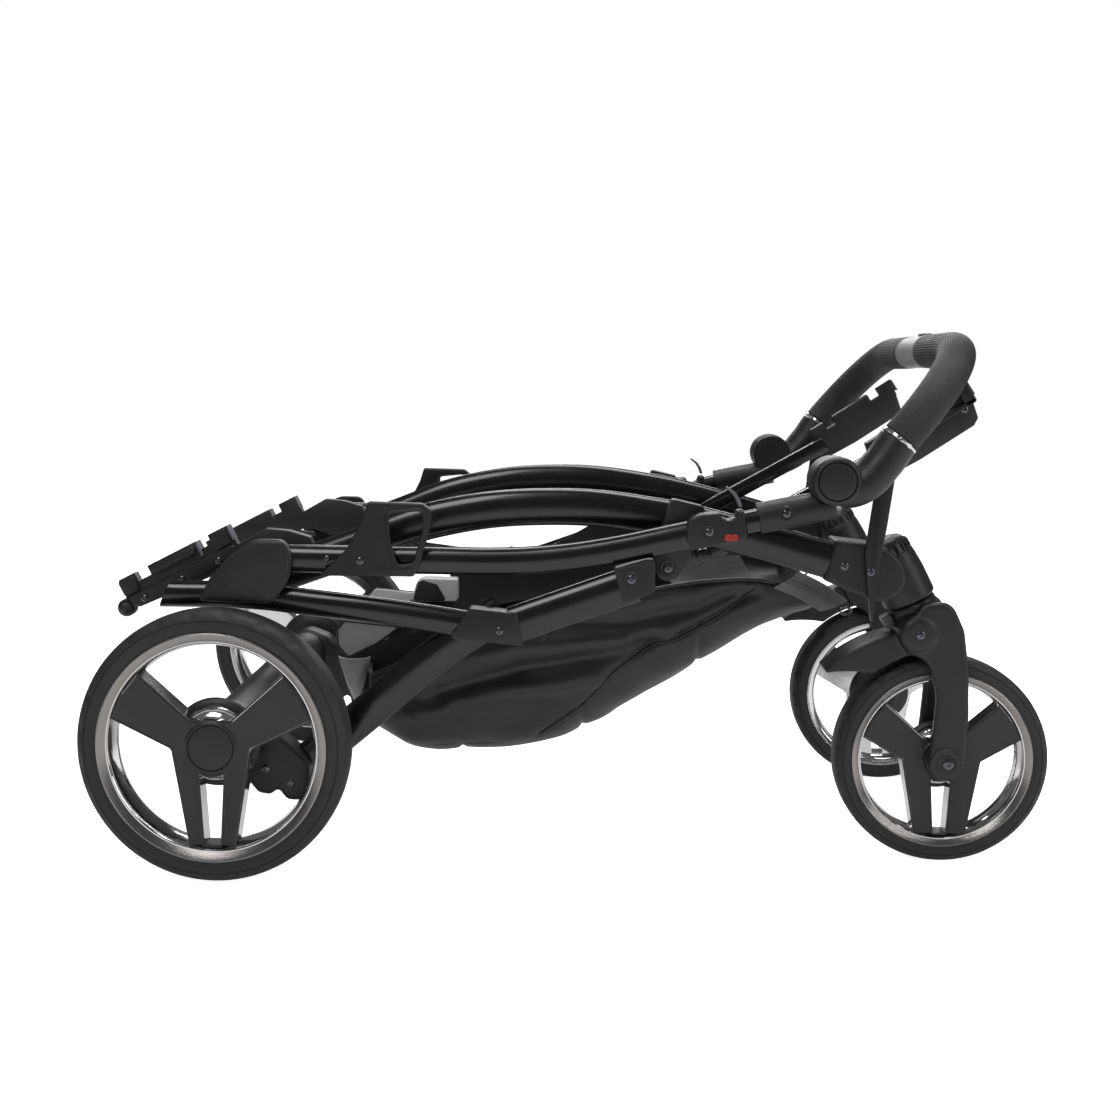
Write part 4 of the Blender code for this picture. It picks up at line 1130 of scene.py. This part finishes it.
def trim_ring(label, side, direction):
    """The bright ring below the grip, with two square studs on its outer side."""
    x, z = along_bar(0.0023)
    middle = to_frame(x, side * BAR_Y, z)
    radius = BAR_RADIUS + 0.0008
    profile = [
        (0.012, -0.0018), (radius - 0.0006, -0.0018), (radius, -0.0011), (radius, 0.0011),
        (radius - 0.0006, 0.0018), (0.012, 0.0018),
    ]
    ring = lathe(f"trim_ring_metal_{label}", profile)
    turn = Vector((0, 1, 0)).rotation_difference(direction).to_matrix().to_4x4()
    ring.data.transform(Matrix.Translation(middle) @ turn)
    finished(ring, BRIGHT_METAL, 30, "push_bar", f"trim_ring_{label}")
    up = Vector((-direction.z, 0, direction.x))
    studs = []
    for angle in (math.radians(-24), math.radians(6)):
        out = Vector((0, side, 0)) * math.cos(angle) + up * math.sin(angle)
        mesh = bpy.data.meshes.new("stud")
        with editing(mesh) as cube:
            bmesh.ops.create_cube(cube, size=1.0)
        basis = Matrix((direction, out.cross(direction), out)).transposed().to_4x4()
        scale = Matrix.Diagonal((0.0044, 0.0044, 0.002, 1))
        mesh.transform(Matrix.Translation(middle + out * (radius - 0.0006)) @ basis @ scale)
        studs.append(edged(shown("stud", mesh), 0.0006))
    place(smooth(joined(f"trim_studs_{label}", studs, BRIGHT_METAL), 40), "push_bar")


def elbow(label, side):
    """The bent satin tube that carries the bar, the angle hub round its pivot, and the hub's button."""
    path = [(0.645, 0.4145), (0.668, 0.421), (0.688, 0.4415), along_bar(0.0002)]
    rim_profile = [
        (0.0, 0.006), (0.0193, 0.006), (0.0194, 0.0128), (0.02, 0.0136), (0.0212, 0.0136), (0.0232, 0.0124),
        (0.0247, 0.01), (0.0252, 0.007), (0.0252, -0.016), (0.0, -0.016),
    ]
    cap = [
        (0.0, 0.0064), (0.01, 0.0062), (0.0165, 0.0057), (0.0184, 0.005), (0.0191, 0.0038),
        (0.0191, 0.0002), (0.0, 0.0002),
    ]
    recess = lathe("recess", [(0.0, 0.03), (0.0193, 0.03), (0.0193, 0.0), (0.0, 0.0)])
    x, z = BAR_PIVOT
    recess_at, rim_at, cap_at = (to_frame(x, side * y, z) for y in (0.2608, 0.255, 0.2638))
    tube = oval_tube(path, (BAR_Y - 0.0203, BAR_Y + 0.0203), 0.0406, side, resolution=18)
    tube = carved(tube, on_axle(recess, *recess_at, side))
    hub_rim = on_axle(lathe("hub", rim_profile), *rim_at, side)
    made = joined(f"bar_elbow_moulding_{label}", [tube, hub_rim], PLASTIC)
    place(smooth(made, 40), "push_bar", f"bar_elbow_{label}")
    button = f"angle_button_{label}"
    turned(f"angle_button_cap_{label}", cap, cap_at, side, PLASTIC, 30, button, button)


# ---------------------------------------------------------------- rear axle


def axle_beam():
    """The cross tube and the lobed hub carriers, run together, with a bright collar by each wheel."""
    carrier = [
        (-0.024, 0.162, 0.02), (0.0, 0.18, 0.02), (0.03, 0.168, 0.01), (0.074, 0.133, 0.008),
        (0.0925, 0.116, 0.008), (0.093, 0.09, 0.014), (0.085, 0.0725, 0.01), (0.067, 0.073, 0.01),
        (0.058, 0.086, 0.003), (0.05, 0.0785, 0.006), (0.036, 0.08, 0.008), (0.024, 0.095, 0.004),
        (0.0, 0.11, 0.02), (-0.03, 0.135, 0.02),
    ]
    stub = [(0.0, 0.012), (0.0055, 0.012), (0.006, 0.011), (0.006, -0.006), (0.0, -0.006)]
    beam = round_tube([to_frame(0, y, REAR_RADIUS) for y in (-0.235, 0.235)], 0.028, "beam", 16)
    plates = [plate([rounded(carrier, 0.005)], (0.205, 0.236), side, 0.003) for _, side in SIDES]
    made = fused("rear_axle_moulding", [beam, *plates], 0.0024, 3, PLASTIC)
    place(made, "rear_legs", "rear_axle_beam")
    for label, side in SIDES:
        where = to_frame(0, side * 0.238, REAR_RADIUS)
        turned(f"axle_stub_{label}", stub, where, side, STEEL, 30, "rear_legs", segments=48)


# ---------------------------------------------------------------- basket


# Stations from back to front: x from the rear axle, rim height, floor height, half width.
BASKET_STATIONS = np.array(
    (
        (0.15, 0.196, 0.112, 0.16), (0.18, 0.21, 0.09, 0.168), (0.255, 0.24, 0.088, 0.172),
        (0.33, 0.262, 0.094, 0.172), (0.4, 0.281, 0.12, 0.17), (0.47, 0.298, 0.16, 0.16),
        (0.53, 0.306, 0.2, 0.155), (0.585, 0.306, 0.232, 0.15), (0.64, 0.288, 0.258, 0.14),
    )
)
BASKET_ROWS = 170
BASKET_AROUND = 150
BASKET_CAP_ROWS = 7
BASKET_SQUARENESS = 3.0
SEAM_HALF_WIDTH = 0.003

# The sewn line that parts the side panel from the bottom panel, and the seams across the bottom.
SIDE_SEAM = (
    (0.3371, 0.1214), (0.3859, 0.1599), (0.422, 0.2035), (0.4635, 0.2333), (0.4919, 0.2393),
    (0.5329, 0.2622), (0.5787, 0.299),
)
CROSS_SEAMS = ((0.247, 0.0), (0.388, 0.157), (0.5187, 0.248))

# Long soft folds of the side panel: points along each, its depth and its half width.
FOLDS = (
    (((0.3389, 0.2605), (0.4269, 0.2572), (0.5138, 0.2739), (0.5567, 0.2943)), -0.0075, 0.01),
    (((0.2277, 0.1765), (0.317, 0.2041), (0.4272, 0.2248), (0.4632, 0.2365)), -0.008, 0.011),
    (((0.1828, 0.1701), (0.2613, 0.16), (0.3393, 0.1671)), -0.0045, 0.012),
    (((0.245, 0.218), (0.33, 0.233), (0.43, 0.242)), 0.0055, 0.013),
    (((0.2, 0.15), (0.3, 0.18), (0.4, 0.195)), 0.005, 0.012),
    (((0.4969, 0.2448), (0.54, 0.268), (0.5773, 0.2901)), -0.0035, 0.007),
)


def smooth_column(x, column):
    """A station value at x, eased between stations with a Hermite curve."""
    xs = BASKET_STATIONS[:, 0]
    values = BASKET_STATIONS[:, column]
    slopes = np.gradient(values, xs)
    i = int(np.clip(np.searchsorted(xs, x) - 1, 0, len(xs) - 2))
    width = xs[i + 1] - xs[i]
    t = (x - xs[i]) / width
    return float(
        values[i] * (1 + 2 * t) * (1 - t) ** 2
        + slopes[i] * width * t * (1 - t) ** 2
        + values[i + 1] * t * t * (3 - 2 * t)
        + slopes[i + 1] * width * t * t * (t - 1)
    )


def distance_to_line(x, z, line):
    """The distance from a side-view point to a line of points, and the height over it."""
    best = 1.0
    over = 0.0
    for (ax, az), (bx, bz) in zip(line, line[1:]):
        length = math.hypot(bx - ax, bz - az)
        share = ((x - ax) * (bx - ax) + (z - az) * (bz - az)) / length**2
        share = min(1.0, max(0.0, share))
        gap_x, gap_z = x - ax - share * (bx - ax), z - az - share * (bz - az)
        gap = math.hypot(gap_x, gap_z)
        if gap < best:
            best = gap
            over = math.copysign(gap, (bx - ax) * gap_z - (bz - az) * gap_x)
    return best, over


def basket_relief(x, y, z, rim_height, side_share):
    """How far the cloth stands out of its even shape at a point, in metres."""
    rise = 0.0
    fade = min(1.0, max(0.0, (rim_height - z) / 0.018))
    for line, depth, width in FOLDS:
        gap, _ = distance_to_line(x, z, line)
        rise += depth * math.exp(-((gap / width) ** 2)) * side_share
    gap, over = distance_to_line(x, z, SIDE_SEAM)
    rise -= 0.0028 * math.exp(-((gap / SEAM_HALF_WIDTH) ** 2)) * side_share
    below = over < 0 or side_share < 0.5
    if below and x > 0.2:
        for seam_x, _ in CROSS_SEAMS:
            near = (x - seam_x) / SEAM_HALF_WIDTH
            rise -= 0.003 * math.exp(-(near**2))
            rise += 0.001 * math.exp(-(((abs(x - seam_x) - 0.02) / 0.018) ** 2))
    place_of = Vector((x * 9, y * 9, z * 14))
    rise += 0.004 * noise.noise(place_of) + 0.0016 * noise.noise(place_of * 2.6)
    return rise * fade


def basket_grid():
    """The cloth as a grid of points from the back to the front, each row running from rim to rim."""
    first, last = BASKET_STATIONS[0, 0], BASKET_STATIONS[-1, 0]
    rows = []
    for i in range(BASKET_ROWS):
        x = first + (last - first) * i / (BASKET_ROWS - 1)
        rim_height, floor, half = (smooth_column(x, column) for column in (1, 2, 3))
        depth = rim_height - floor
        row = []
        for j in range(BASKET_AROUND):
            angle = math.pi * j / (BASKET_AROUND - 1)
            cos, sin = math.cos(angle), math.sin(angle)
            power = 2 / BASKET_SQUARENESS
            y = -half * math.copysign(abs(cos) ** power, cos)
            z = rim_height - depth * sin**power
            row.append((x, y, z))
        rows.append(row)
    grid = np.array(rows)
    along = np.gradient(grid, axis=0)
    around = np.gradient(grid, axis=1)
    normals = np.cross(along, around)
    normals /= np.maximum(np.linalg.norm(normals, axis=2, keepdims=True), 1e-9)
    outward = np.sign((normals * (grid - [0, 0, 0.25])).sum(axis=2, keepdims=True))
    normals *= np.where(outward == 0, 1, outward)
    for i, row in enumerate(grid):
        rim_height = smooth_column(row[0][0], 1)
        for j, (x, y, z) in enumerate(row):
            share = abs(normals[i, j, 1])
            grid[i, j] += normals[i, j] * (basket_relief(x, y, z, rim_height, share) - 0.002)
    return grid


def basket_caps(grid):
    """The grid with its back and front closed by rows that draw in to the rim's middle."""
    rows = list(grid)
    for end, direction in ((0, -1), (-1, 1)):
        edge = grid[end]
        centre = (edge[0] + edge[-1]) / 2
        extra = []
        for step in range(1, BASKET_CAP_ROWS + 1):
            angle = math.pi / 2 * step / BASKET_CAP_ROWS
            ring = centre + (edge - centre) * max(0.02, math.cos(angle))
            ring[:, 0] += direction * 0.014 * math.sin(angle)
            extra.append(ring)
        rows = extra[::-1] + rows if direction < 0 else rows + extra
    return np.array(rows)


def sheet_from(grid, name, thickness, material):
    """A solid sheet over a grid of side-view-based points."""
    rows, columns, _ = grid.shape
    verts = [to_frame(*point) for point in grid.reshape(-1, 3)]
    obj = built(name, verts, quads(rows, columns, wrap_columns=False))
    wall = obj.modifiers.new("wall", "SOLIDIFY")
    wall.thickness = thickness
    wall.offset = -1
    made = applied(obj)
    made.data.materials.append(material)
    made.data.shade_smooth()
    return made


def surface_line(grid, line, side, lift, spacing=0.004):
    """Points over the cloth's side along a side-view line, lifted off it."""
    half = grid[:, : BASKET_AROUND // 2] if side < 0 else grid[:, BASKET_AROUND // 2 :]
    flat = half.reshape(-1, 3)
    points = []
    for (ax, az), (bx, bz) in zip(line, line[1:]):
        count = max(2, int(math.hypot(bx - ax, bz - az) / spacing))
        for step in range(count):
            share = step / count
            x, z = ax + (bx - ax) * share, az + (bz - az) * share
            nearest = flat[np.argmin((flat[:, 0] - x) ** 2 + (flat[:, 2] - z) ** 2)]
            points.append(Vector((x + REAR_AXLE.x, nearest[1] + side * lift, z)))
    return eased(points)


def eased(points, passes=3):
    """The line with its small jumps evened out."""
    for _ in range(passes):
        inner = [(a + b * 2 + c) / 4 for a, b, c in zip(points, points[1:], points[2:])]
        points = [points[0], *inner, points[-1]]
    return points


def stitches(name, line, offset, length=0.0034, step=0.0052):
    """A row of separate stitches beside a line of points."""
    made = []
    travelled = 0.0
    due = 0.0
    for a, b in zip(line, line[1:]):
        run = (b - a).length
        while due < travelled + run:
            middle = a.lerp(b, (due - travelled) / run) + Vector(offset)
            ahead = (b - a).normalized() * length / 2
            made.append(round_tube([middle - ahead, middle, middle + ahead], 0.00042, resolution=1))
            due += step
        travelled += run
    place(smooth(joined(name, made, THREAD), 60), "main_frame")


def basket():
    grid = basket_grid()
    capped = basket_caps(grid)
    shell = sheet_from(capped, "basket_shell", 0.0022, LEATHER)
    place(shell, "main_frame", "basket")
    for label, side in SIDES:
        edge = 0 if side < 0 else -1
        hem = eased([Vector((x + REAR_AXLE.x, y, z)) for x, y, z in capped[:, edge]], 2)
        piping = round_tube(hem, 0.0021, f"basket_hem_{label}", 4)
        finished(piping, LEATHER, 60, "main_frame")
        seam = surface_line(grid, SIDE_SEAM, side, 0.0002)
        welt = round_tube(seam, 0.0011, f"basket_side_seam_{label}", 3)
        finished(welt, LEATHER, 60, "main_frame")
        stitches(f"basket_seam_stitches_{label}", seam, (0, side * 0.0006, 0.0042))
        stitches(f"basket_hem_stitches_{label}", hem[8:-8], (0, side * 0.0012, -0.0065))
    basket_trims()


def patch(name, point, rows, columns, thickness, material):
    """A sheet of the main frame through point(u, v), as both run from 0 to 1."""
    grid = [[point(i / rows, j / columns) for j in range(columns + 1)] for i in range(rows + 1)]
    place(smooth(sheet_from(np.array(grid), name, thickness, material), 60), "main_frame")


def patch_sheet(name, corners, sag, thickness, material, steps=24):
    """A slack sheet between four corners, given in order as (x, y, z) with x from the rear axle."""
    a, b, c, d = (np.array(corner, float) for corner in corners)

    def point(u, v):
        flat = (a * (1 - u) + b * u) * (1 - v) + (d * (1 - u) + c * u) * v
        return flat + np.array(sag) * (16 * u * (1 - u) * v * (1 - v))

    patch(name, point, steps, steps, thickness, material)


def basket_trims():
    """The mesh panels, the ribbed strap with its clip, and the pale flap at the basket's back."""
    panels = (
        ("basket_mesh_top", (0, 0, -0.014), PALE_MESH,
         [(0.492, -0.148, 0.292), (0.58, -0.143, 0.297), (0.59, 0.138, 0.297), (0.48, 0.148, 0.29)]),
        ("basket_mesh_panel", (0, 0.004, 0), MESH,
         [(0.3287, 0.15, 0.296), (0.54, 0.15, 0.304), (0.54, 0.152, 0.334), (0.396, 0.152, 0.334)]),
        ("basket_far_wall", (0, 0.006, -0.004), MESH,
         [(0.208, 0.152, 0.212), (0.47, 0.152, 0.262), (0.47, 0.154, 0.303), (0.208, 0.154, 0.269)]),
    )
    for name, sag, material, corners in panels:
        patch_sheet(name, corners, sag, 0.0012, material)
    gusset = [(0.104, 0.102, 0.2091), (0.2207, 0.106, 0.244), (0.185, 0.112, 0.15), (0.118, 0.102, 0.143)]
    for label, side in SIDES:
        corners = [(x, side * y, z) for x, y, z in gusset]
        patch_sheet(f"basket_rear_gusset_{label}", corners, (0, side * 0.003, 0), 0.0014, LEATHER)
    ribbed_strap()
    rear_flap()
    rear_tab()


def ribbed_strap():
    """The wide ribbed strap from the basket's front to the caster housing, with its small clip."""
    start, end = Vector((0.6088, 0.3067)), Vector((0.6616, 0.2784))
    start_width, end_width = Vector((0.0278, 0.0192)), Vector((0.0301, 0.0126))
    ribs = 8
    for label, side in SIDES:

        def point(u, v):
            middle = start.lerp(end, u) + Vector((0, 0.003 * math.sin(math.pi * u)))
            here = middle + start_width.lerp(end_width, u) * (v - 0.5)
            swell = 0.0008 * abs(math.sin(math.pi * ribs * v))
            return here.x, side * (0.146 + 0.01 * math.sin(math.pi * v) + swell), here.y

        patch(f"basket_strap_{label}", point, 40, ribs * 6, 0.0016, WEBBING)
        ring = []
        for step in range(28):
            angle = 2 * math.pi * step / 28
            x, z = 0.6745 + 0.006 * math.cos(angle), 0.2735 + 0.0038 * math.sin(angle)
            ring.append(to_frame(x, side * 0.15, z))
        clip = round_tube(ring, 0.0013, f"strap_clip_{label}", 4, closed=True)
        finished(clip, STEEL, 60, "main_frame")


def rear_flap():
    """The pale sewn flap that folds over the basket's back edge, and the wrap under it."""
    tip = rounded(
        [
            (0.104, 0.24, 0.004), (0.112, 0.25, 0.006), (0.1765, 0.244, 0.002), (0.15, 0.224, 0.03),
            (0.1158, 0.207, 0.006), (0.104, 0.222, 0.01),
        ],
        0.004,
    )
    for label, side in SIDES:
        leaf = plate([tip], (0.118, 0.1215), side, 0.0014)
        finished(leaf, PALE_LEATHER, 60, "main_frame", name=f"basket_flap_{label}")
        edge = [to_frame(x, side * 0.1217, z) for x, z in tip]
        piping = round_tube(edge, 0.0012, f"basket_flap_piping_{label}", 3, closed=True)
        finished(piping, LEATHER, 60, "main_frame")
        corner_wrap(label, side)


def rear_tab():
    """The pale tab in the middle of the basket's back edge, with a dark patch on its near face that is
    painted shade over the tab's middle.
    """
    tab = [
        (0.1755, 0.2549, 0.003), (0.2326, 0.2556, 0.003), (0.2326, 0.283, 0.003), (0.1905, 0.2838, 0.008),
        (0.1831, 0.28, 0.006),
    ]
    # A dark leatherette patch standing just proud of the pale tab's near face: painted shade where the tab's
    # middle lies in shadow.
    painted_shade_patch = [(0.1775, 0.2562), (0.22, 0.2562), (0.208, 0.277), (0.1905, 0.2818), (0.185, 0.279)]
    rows = (
        ("basket_rear_tab", tab, (-0.012, 0.012), 0.0014, PALE_LEATHER),
        ("basket_rear_tab_lining", painted_shade_patch, (0.01, 0.0135), 0.001, LEATHER),
    )
    for name, outline, plane, edge, material in rows:
        finished(plate([rounded(outline, 0.003)], plane, -1, edge), material, 60, "main_frame", name=name)
    web = [(0.1765, -0.004, 0.259), (0.226, -0.004, 0.259), (0.162, -0.004, 0.19), (0.1375, -0.004, 0.193)]
    patch_sheet("basket_rear_tab_web", web, (0, 0.004, 0), 0.0018, LEATHER)


def corner_wrap(label, side):
    """The pale roll of cloth under the flap, narrowing to the foot of the basket's corner."""
    top, foot = Vector((0.1216, 0.206)), Vector((0.1235, 0.155))

    def point(u, v):
        middle = top.lerp(foot, u)
        reach = 0.0185 + (0.004 - 0.0185) * u**1.3
        turn = math.pi * v
        depth = 0.108 + 0.75 * reach * math.sin(turn) + 0.0006 * math.sin(9 * u + 5 * turn)
        return middle.x - reach * math.cos(turn), side * depth, middle.y

    patch(f"basket_corner_wrap_{label}", point, 30, 36, 0.0014, PALE_LEATHER)


# ---------------------------------------------------------------- fasteners


AXLE_SCREWS = ((0.045, 0.108, 0.0048), (0.072, 0.092, 0.0048), (0.024, 0.092, 0.0038))


def fasteners():
    receiver = RECEIVER_PLANE[1]
    handle = [
        (0.515, 0.371, HANDLE_FACE, 0.0042), (0.593, 0.391, HANDLE_FACE, 0.0042),
        (0.1538, 0.339, COVER_PLANE[1] - 0.002, 0.0042), (0.1165, 0.3395, SIDE_PLANE[1] + 0.0004, 0.0034),
    ]
    main = [
        (0.299, 0.265, BRACKET_FACE, 0.0042), (0.436, 0.321, BRACKET_FACE, 0.0048),
        (0.475, 0.33, BRACE_FACE, 0.0052), (0.661, 0.331, 0.2065, 0.0045),
        (0.687, 0.326, STRUT_FACE, 0.0042), (-0.1, 0.285, receiver + 0.0044, 0.004),
        (-0.057, 0.307, receiver + 0.0044, 0.004), (-0.015, 0.328, receiver + 0.0044, 0.004),
        (0.785, 0.496, receiver, 0.0042), (0.71, 0.446, receiver, 0.0042),
    ]
    axle = [(x, z, CARRIER_FACE, radius) for x, z, radius in AXLE_SCREWS]
    handle_rings = [(0.515, 0.371, 0.2512, 0.0072), (0.593, 0.391, 0.2512, 0.008)]
    main_rings = [(0.436, 0.321, BRACKET_FACE, 0.0082), (0.475, 0.33, BRACE_FACE, 0.009)]
    fixings("handle_screws", "handle_frame", handle)
    fixings("handle_recesses", "handle_frame", handle_rings, washer, PLASTIC)
    fixings("frame_screws", "main_frame", main)
    fixings("frame_recesses", "main_frame", main_rings, washer, PLASTIC)
    fixings("axle_screws", "rear_legs", axle)
    for label, side in SIDES:
        heads = [
            screw(*KNUCKLE, FRONT_WHEEL_Y + KNUCKLE_REACH, side, 0.0046),
            screw(0.779, 0.115, 0.1922, side, 0.006),
        ]
        place(smooth(joined(f"fork_screws_{label}", heads, STEEL)), f"fork_{label}")


# ---------------------------------------------------------------- studio


def studio():
    """A white floor and backdrop, soft overhead light, and strips that draw lines along the tubes."""
    scene = bpy.context.scene
    scene.view_settings.view_transform = "Standard"
    bpy.ops.mesh.primitive_plane_add(size=14.0, location=(0, 2.0, 0))
    floor = bpy.context.object
    floor.name = "studio_floor"
    paint = bpy.data.materials.new("studio_white")
    paint.use_nodes = True
    links = paint.node_tree.links
    shader = paint.node_tree.nodes["Principled BSDF"].inputs
    shader["Roughness"].default_value = 0.9
    shader["Specular IOR Level"].default_value = 0.0
    shader["Emission Color"].default_value = (1, 1, 1, 1)
    tones = [(0.3, (0.9, 0.9, 0.9)), (0.7, (0.92, 0.92, 0.92))]
    links.new(ramp(paint, texture(paint, NOISE, 2.0, Detail=2.0), tones), shader["Base Color"])
    seen = paint.node_tree.nodes.new("ShaderNodeLightPath").outputs["Is Camera Ray"]
    links.new(ranged(paint, seen, 0.12, 0.93, 0.0, 1.0), shader["Emission Strength"])
    floor.data.materials.append(paint)
    scene.world = bpy.data.worlds.new("studio")
    scene.world.use_nodes = True
    nodes = scene.world.node_tree.nodes
    links = scene.world.node_tree.links
    mix = nodes.new("ShaderNodeMix")
    mix.data_type = "RGBA"
    mix.inputs["A"].default_value = (0.125, 0.125, 0.128, 1)
    mix.inputs["B"].default_value = (1.0, 1.0, 1.0, 1)
    links.new(nodes.new("ShaderNodeLightPath").outputs["Is Camera Ray"], mix.inputs["Factor"])
    links.new(mix.outputs["Result"], nodes["Background"].inputs["Color"])
    lights = (
        ("key", (-0.9, -1.9, 2.3), 1.1, 1.1, 22), ("top", (0.2, 0.2, 2.6), 2.2, 0.8, 40),
        ("side", (2.0, -1.1, 1.3), 0.4, 1.8, 11), ("back", (0.3, 2.4, 1.7), 2.4, 0.5, 30),
    )
    for name, where, wide, tall, power in lights:
        light = bpy.data.lights.new(name, "AREA")
        light.shape, light.size, light.size_y, light.energy = "RECTANGLE", wide, tall, power
        lamp = linked(name, light)
        lamp.location = where
        lamp.rotation_euler = (Vector((0, 0, 0.25)) - Vector(where)).to_track_quat("-Z", "Y").to_euler()


def camera():
    """A long view from the right side, a little above the chassis."""
    lens = bpy.data.cameras.new("camera")
    lens.lens, lens.shift_x, lens.shift_y = 44.19, 0.0679, -0.0443
    view = linked("camera", lens)
    view.location = (0.01185, -1.6683, 0.5341)
    view.rotation_euler = (math.radians(90 - 5.71), 0, math.radians(4.13))
    bpy.context.scene.camera = view


def main():
    camera()
    studio()
    wheels()
    tubes()
    brace_brackets()
    brackets()
    latch_housings()
    handle_sleeves()
    fold_covers()
    carry_loops()
    safety_button()
    receiver_details()
    housings()
    forks()
    push_bar()
    axle_beam()
    basket()
    fasteners()


main()
